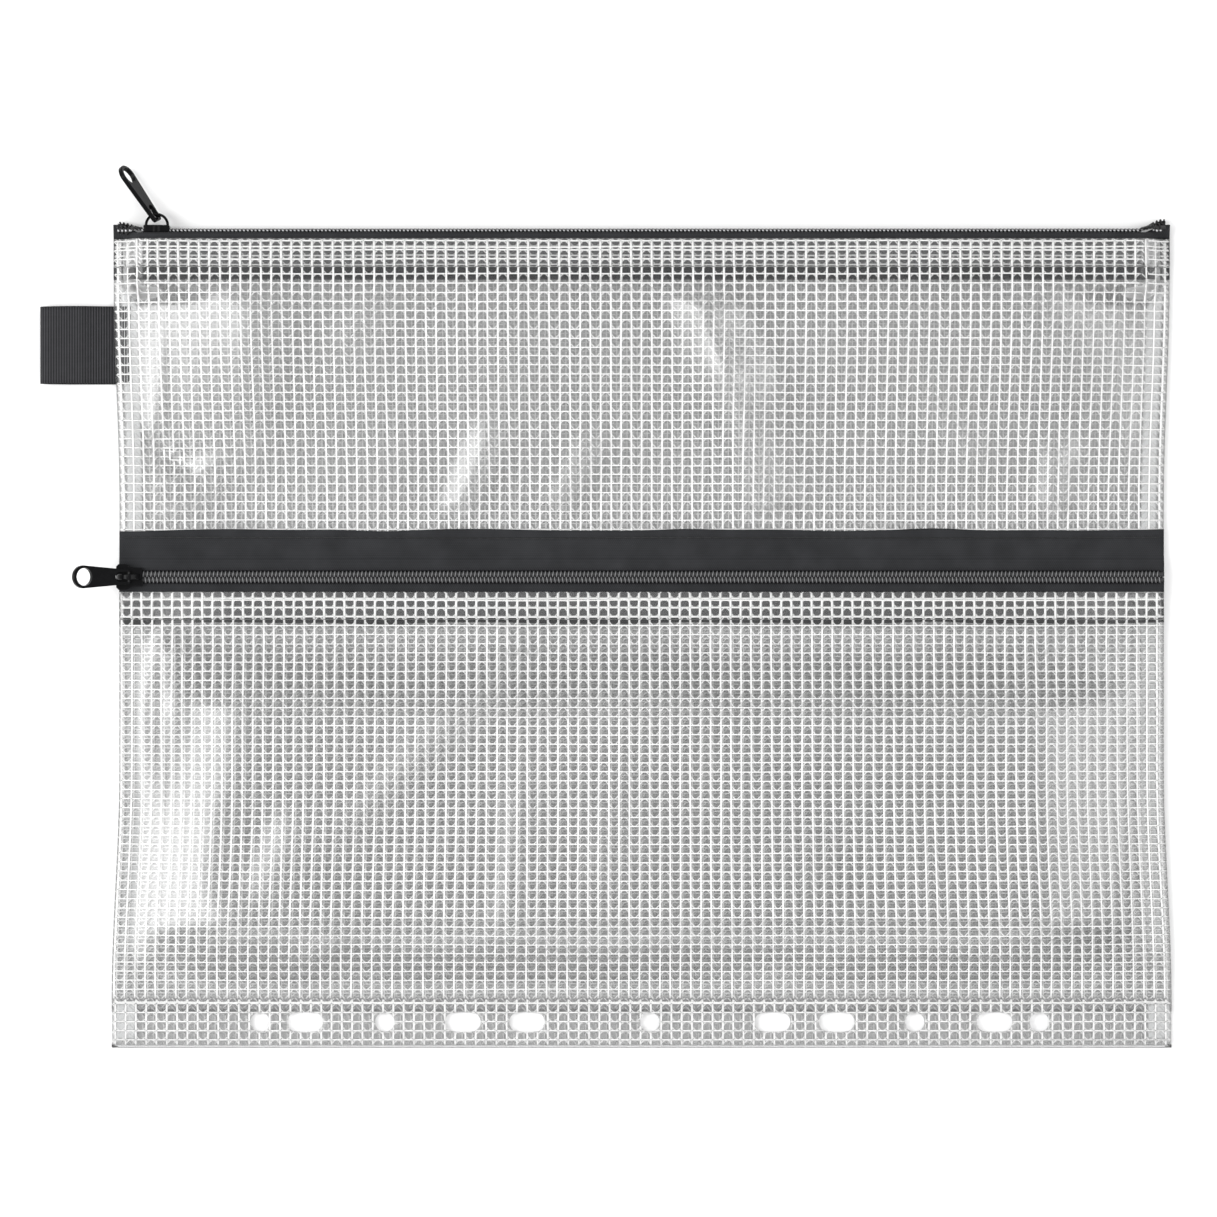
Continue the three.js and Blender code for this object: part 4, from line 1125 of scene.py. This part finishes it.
class POUCH_OT_band(bpy.types.Operator):
    """Binder band: two leaves of film with punched holes, and the fold below them"""

    bl_idname = "pouch.band"
    bl_label = "Binder band"

    def execute(self, context):
        settings = context.scene.pouch
        front = bpy.data.materials["front_film"]
        back = bpy.data.materials["back_film"]
        yarn = bpy.data.materials["scrim_yarn"]
        top = BAND_HIGH[2]
        thick = settings.film_thickness
        fold = top / 2
        low = BAND_LOW[1] + fold
        leaves = [("band_front", top - thick, BAND_SHIFT, front, ["binder_band"]),
                  ("band_back", 0.0, BACK_SHIFT, back, [])]
        for name, z, shift, look, nodes in leaves:
            mesh = flange_mesh(low, BAND_TOP, z, thick, settings, shift)
            new_piece(name, mesh, look, nodes=nodes)
            band_yarns(f"{name}_scrim", low, BAND_TOP, z + thick / 2, settings, shift, yarn)
        x = np.linspace(-FOOT_HALF, FOOT_HALF, 120)
        angle = np.linspace(-np.pi / 2, np.pi / 2, 9)
        grid_x, grid_a = np.meshgrid(x, angle)
        rings = []
        for radius in (fold - thick, fold):
            y, z = low - radius * np.cos(grid_a), fold + radius * np.sin(grid_a)
            rings.append(np.stack([grid_x, y, z], -1))
        new_piece("band_fold", slab_mesh(*rings), front)
        milky = film_look("welded_film", settings, settings.seam_haze, settings.milk_colour)
        y = BAND_TOP - np.linspace(*WELD_DROPS, 9)
        inset = np.linspace(*WELD_INSETS, 7)
        under = top - thick - WELD_DEPTH
        for side, name in ((-1, "left"), (1, "right")):
            milky_strip(f"weld_{name}", side, y, inset, under, under + WELD_THICKNESS, settings, milky)
        return {"FINISHED"}


class POUCH_OT_seams(bpy.types.Operator):
    """Turned-in side seams between the panels"""

    bl_idname = "pouch.seams"
    bl_label = "Side seams"

    def execute(self, context):
        settings = context.scene.pouch
        milky = bpy.data.materials["welded_film"]
        for side, name in ((-1, "left"), (1, "right")):
            low, high = corners(f"side_binding_{name}")
            y = np.linspace(low[1], high[1], 80)
            inset = np.linspace(SEAM_INSET, SEAM_WIDTH, 6)
            milky_strip(f"side_seam_{name}", side, y, inset, low[2] + SEAM_GAP, high[2] - SEAM_GAP,
                        settings, milky, [f"side_binding_{name}"])
        return {"FINISHED"}


class POUCH_OT_tapes(bpy.types.Operator):
    """Woven tapes of both zippers"""

    bl_idname = "pouch.tapes"
    bl_label = "Zipper tapes"

    def execute(self, context):
        settings = context.scene.pouch
        look = tape_look("woven_tape", settings.tape_colour, TAPE_RIB)
        for side, name in ((1, "front"), (-1, "back")):
            mesh = top_tape_mesh(side)
            new_piece(f"top_zip_tape_{name}", mesh, look, nodes=[f"top_tape_{name}"])
        bounds = [("upper", CHAIN_Y + TAPE_GAP / 2, UPPER_TAPE_TOP),
                  ("lower", LOWER_TAPE_FOOT, CHAIN_Y - TAPE_GAP / 2)]
        for name, low, high in bounds:
            share = np.linspace(0, 1, 24)
            across = np.linspace(-1, 1, 260)
            flat_y = low + (high - low) * share[:, None] + across[None, :] * 0
            x = across[None, :] * half_width(flat_y)
            lift = waves(x, x * 0, *TAPE_SLACK)
            free = share[:, None] if name == "upper" else 1 - share[:, None]
            y = flat_y + lift * free ** 2
            mesh = sheet_mesh(x, y, pocket_tape_height(x, flat_y), TAPE_THICKNESS)
            new_piece(f"pocket_zip_tape_{name}", mesh, look, nodes=[f"pocket_tape_{name}"])
        return {"FINISHED"}


class POUCH_OT_coils(bpy.types.Operator):
    """Coil wires of both zippers"""

    bl_idname = "pouch.coils"
    bl_label = "Zipper coils"

    def execute(self, context):
        settings = context.scene.pouch
        dark, light = settings.coil_colour, settings.coil_highlight_colour
        # The top chain's painted highlight is brighter still
        bright = [TOP_HIGHLIGHT_GAIN * part for part in light]
        top_look = coil_look("top_wire", dark, bright, 1, TOP_Y - TOP_HIGHLIGHT_DEPTH, TOP_HIGHLIGHT_REACH)
        pocket_look = coil_look("pocket_wire", dark, light, 2, CHAIN_BASE + COIL_THICKNESS,
                                POCKET_HIGHLIGHT_REACH)
        cord_look = thread_look("filler_cord", dark, 0)
        top_x = (TOP_SLIDER_LOW[0] + TOP_SLIDER_HIGH[0]) / 2
        pocket_x = (POCKET_SLIDER_LOW[0] + POCKET_SLIDER_HIGH[0]) / 2
        top_reach = corners("top_coil_front")[1][0] - COIL_PITCH / 2
        chains = [("top_chain_front", 1, top_reach, top_coil_frame, top_x, "top_coil_front"),
                  ("top_chain_back", -1, top_reach, top_coil_frame, top_x, "top_coil_back"),
                  ("pocket_chain_upper", 1, WAIST_HALF, pocket_coil_frame, pocket_x, "pocket_coil_upper"),
                  ("pocket_chain_lower", -1, WAIST_HALF, pocket_coil_frame, pocket_x, "pocket_coil_lower")]
        for name, side, reach, frame_at, slider_x, node in chains:
            mesh = coil_mesh(side, reach, frame_at, slider_x, settings)
            look = top_look if frame_at is top_coil_frame else pocket_look
            new_piece(name, mesh, look, nodes=[node])
            cord = cord_mesh(side, reach, frame_at, slider_x)
            new_piece(f"{name}_cord", cord, cord_look)
        return {"FINISHED"}


class POUCH_OT_loop(bpy.types.Operator):
    """Hanging loop of grosgrain ribbon"""

    bl_idname = "pouch.loop"
    bl_label = "Hanging loop"

    def execute(self, context):
        look = webbing_look(context.scene.pouch.webbing_colour, LOOP_RIB)
        new_piece("webbing_loop", loop_mesh(), look, nodes=["hanging_loop"])
        return {"FINISHED"}


class POUCH_OT_sewing(bpy.types.Operator):
    """Rows of stitches that hold films and tapes"""

    bl_idname = "pouch.sewing"
    bl_label = "Sewing"

    def execute(self, context):
        settings = context.scene.pouch
        white = thread_look("white_thread", settings.white_thread, 0.2)
        # The tape stitches are black thread, darkened further below the tape's colour as painted shade of
        # the groove they lie in
        dark = thread_look("dark_thread", [0.35 * part for part in settings.tape_colour], 0)
        on_hem = 2 * FILM
        rows = [("hem_stitches", HEM_STITCH_Y, raised(front_height, on_hem), white, FILM_THREAD),
                ("pocket_hem_stitches", POCKET_STITCH_Y, raised(pocket_height, on_hem), white, FILM_THREAD),
                ("upper_tape_stitches", TAPE_STITCH_Y, raised(pocket_tape_height, TAPE_THICKNESS),
                 dark, TAPE_THREAD),
                ("band_stitches", BAND_STITCH_Y, lambda x, y: x * 0 + BAND_HIGH[2], white, FILM_THREAD)]
        for name, level, height_at, look, width in rows:
            x = np.linspace(-1, 1, 1150) * (half_width(level) - THREAD_INSET)
            y = level + waves(x, x * 0, *STITCH_SLACK)
            stitched_line(name, x, y, height_at(x, y), width, look)
        return {"FINISHED"}


class POUCH_OT_hardware(bpy.types.Operator):
    """Enamel of the sliders and pulls"""

    bl_idname = "pouch.hardware"
    bl_label = "Sliders and pulls"

    def execute(self, context):
        look = enamel_look(context.scene.pouch.enamel_colour)
        for name in ("top_slider", "top_pull", "pocket_slider", "pocket_pull"):
            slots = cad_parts[name].data.materials
            slots.clear()
            slots.append(look)
        return {"FINISHED"}


class POUCH_OT_stage(bpy.types.Operator):
    """Floor, lights and camera"""

    bl_idname = "pouch.stage"
    bl_label = "Stage"

    def execute(self, context):
        settings = context.scene.pouch
        scene = context.scene
        self.floor()
        self.lights(settings)
        self.camera(scene)
        scene.view_settings.view_transform = "Standard"
        scene.cycles.transparent_max_bounces = 32
        return {"FINISHED"}

    def floor(self):
        """Wide pale floor just below the pouch."""
        x, y = np.meshgrid([-FLOOR_HALF, FLOOR_HALF], [-FLOOR_HALF, FLOOR_HALF])
        mesh = sheet_mesh(x, y, -FLOOR_GAP - FLOOR_THICKNESS, FLOOR_THICKNESS)
        mesh.name = "floor"
        look = Look("pale_floor")
        mottle = look.noise(look.place()[0], 0.4)
        tone = look.blend(mottle, (0.9, 0.9, 0.9, 1), (0.92, 0.92, 0.92, 1))
        mesh.materials.append(look.opaque(tone, 0.9))
        floor = bpy.data.objects.new("floor", mesh)
        bpy.context.scene.collection.objects.link(floor)

    def lights(self, settings):
        """Soft light from all round, a key at the left and weaker ones at the right and the foot."""
        world = bpy.data.worlds.new("studio")
        world.use_nodes = True
        sky = world.node_tree.nodes["Background"]
        sky.inputs["Color"].default_value = (1, 1, 1, 1)
        sky.inputs["Strength"].default_value = settings.sky
        bpy.context.scene.world = world
        lamps = [("key", (-1.05, 0.08, 1.25), (0.6, 1.1), 1.0),
                 ("side", (0.85, 0.1, 1.2), (0.4, 0.8), 0.27),
                 ("foot", (-0.1, -0.95, 1.2), (0.9, 0.4), 0.18)]
        for name, place, (width, depth), share in lamps:
            data = bpy.data.lights.new(name, "AREA")
            data.shape = "RECTANGLE"
            data.size = width
            data.size_y = depth
            data.energy = settings.key_power * share
            lamp = bpy.data.objects.new(name, data)
            lamp.location = place
            lamp.rotation_euler = Vector(place).to_track_quat("Z", "Y").to_euler()
            bpy.context.scene.collection.objects.link(lamp)

    def camera(self, scene):
        """Long lens straight above the pouch."""
        data = bpy.data.cameras.new("camera")
        data.sensor_width = 36
        data.lens = data.sensor_width * CAMERA_HEIGHT / VIEW_SIDE
        data.clip_start = 0.1
        data.clip_end = 30
        camera = bpy.data.objects.new("camera", data)
        camera.location = (*VIEW_CENTRE, CAMERA_HEIGHT)
        scene.collection.objects.link(camera)
        scene.camera = camera


class POUCH_PT_panel(bpy.types.Panel):
    """Lists the pouch's pieces in the sidebar"""

    bl_idname = "POUCH_PT_panel"
    bl_label = "Zipper pouch"
    bl_space_type = "VIEW_3D"
    bl_region_type = "UI"
    bl_category = "Pouch"

    def draw(self, context):
        for operator in PIECES:
            self.layout.operator(operator.bl_idname)


PIECES = (POUCH_OT_film, POUCH_OT_hems, POUCH_OT_band, POUCH_OT_seams, POUCH_OT_tapes, POUCH_OT_coils,
          POUCH_OT_loop, POUCH_OT_sewing, POUCH_OT_hardware, POUCH_OT_stage)
CLASSES = (ScrimSettings, PouchSettings, *PIECES, POUCH_PT_panel)


def register():
    """Adds the classes and the scene's settings."""
    for cls in CLASSES:
        bpy.utils.register_class(cls)
    bpy.types.Scene.pouch = PointerProperty(type=PouchSettings)


def unregister():
    """Takes the scene's settings and the classes away again."""
    del bpy.types.Scene.pouch
    for cls in reversed(CLASSES):
        bpy.utils.unregister_class(cls)


def main():
    """Builds every piece in order."""
    register()
    for operator in PIECES:
        group, name = operator.bl_idname.split(".")
        getattr(getattr(bpy.ops, group), name)()


if __name__ == "__main__":
    main()
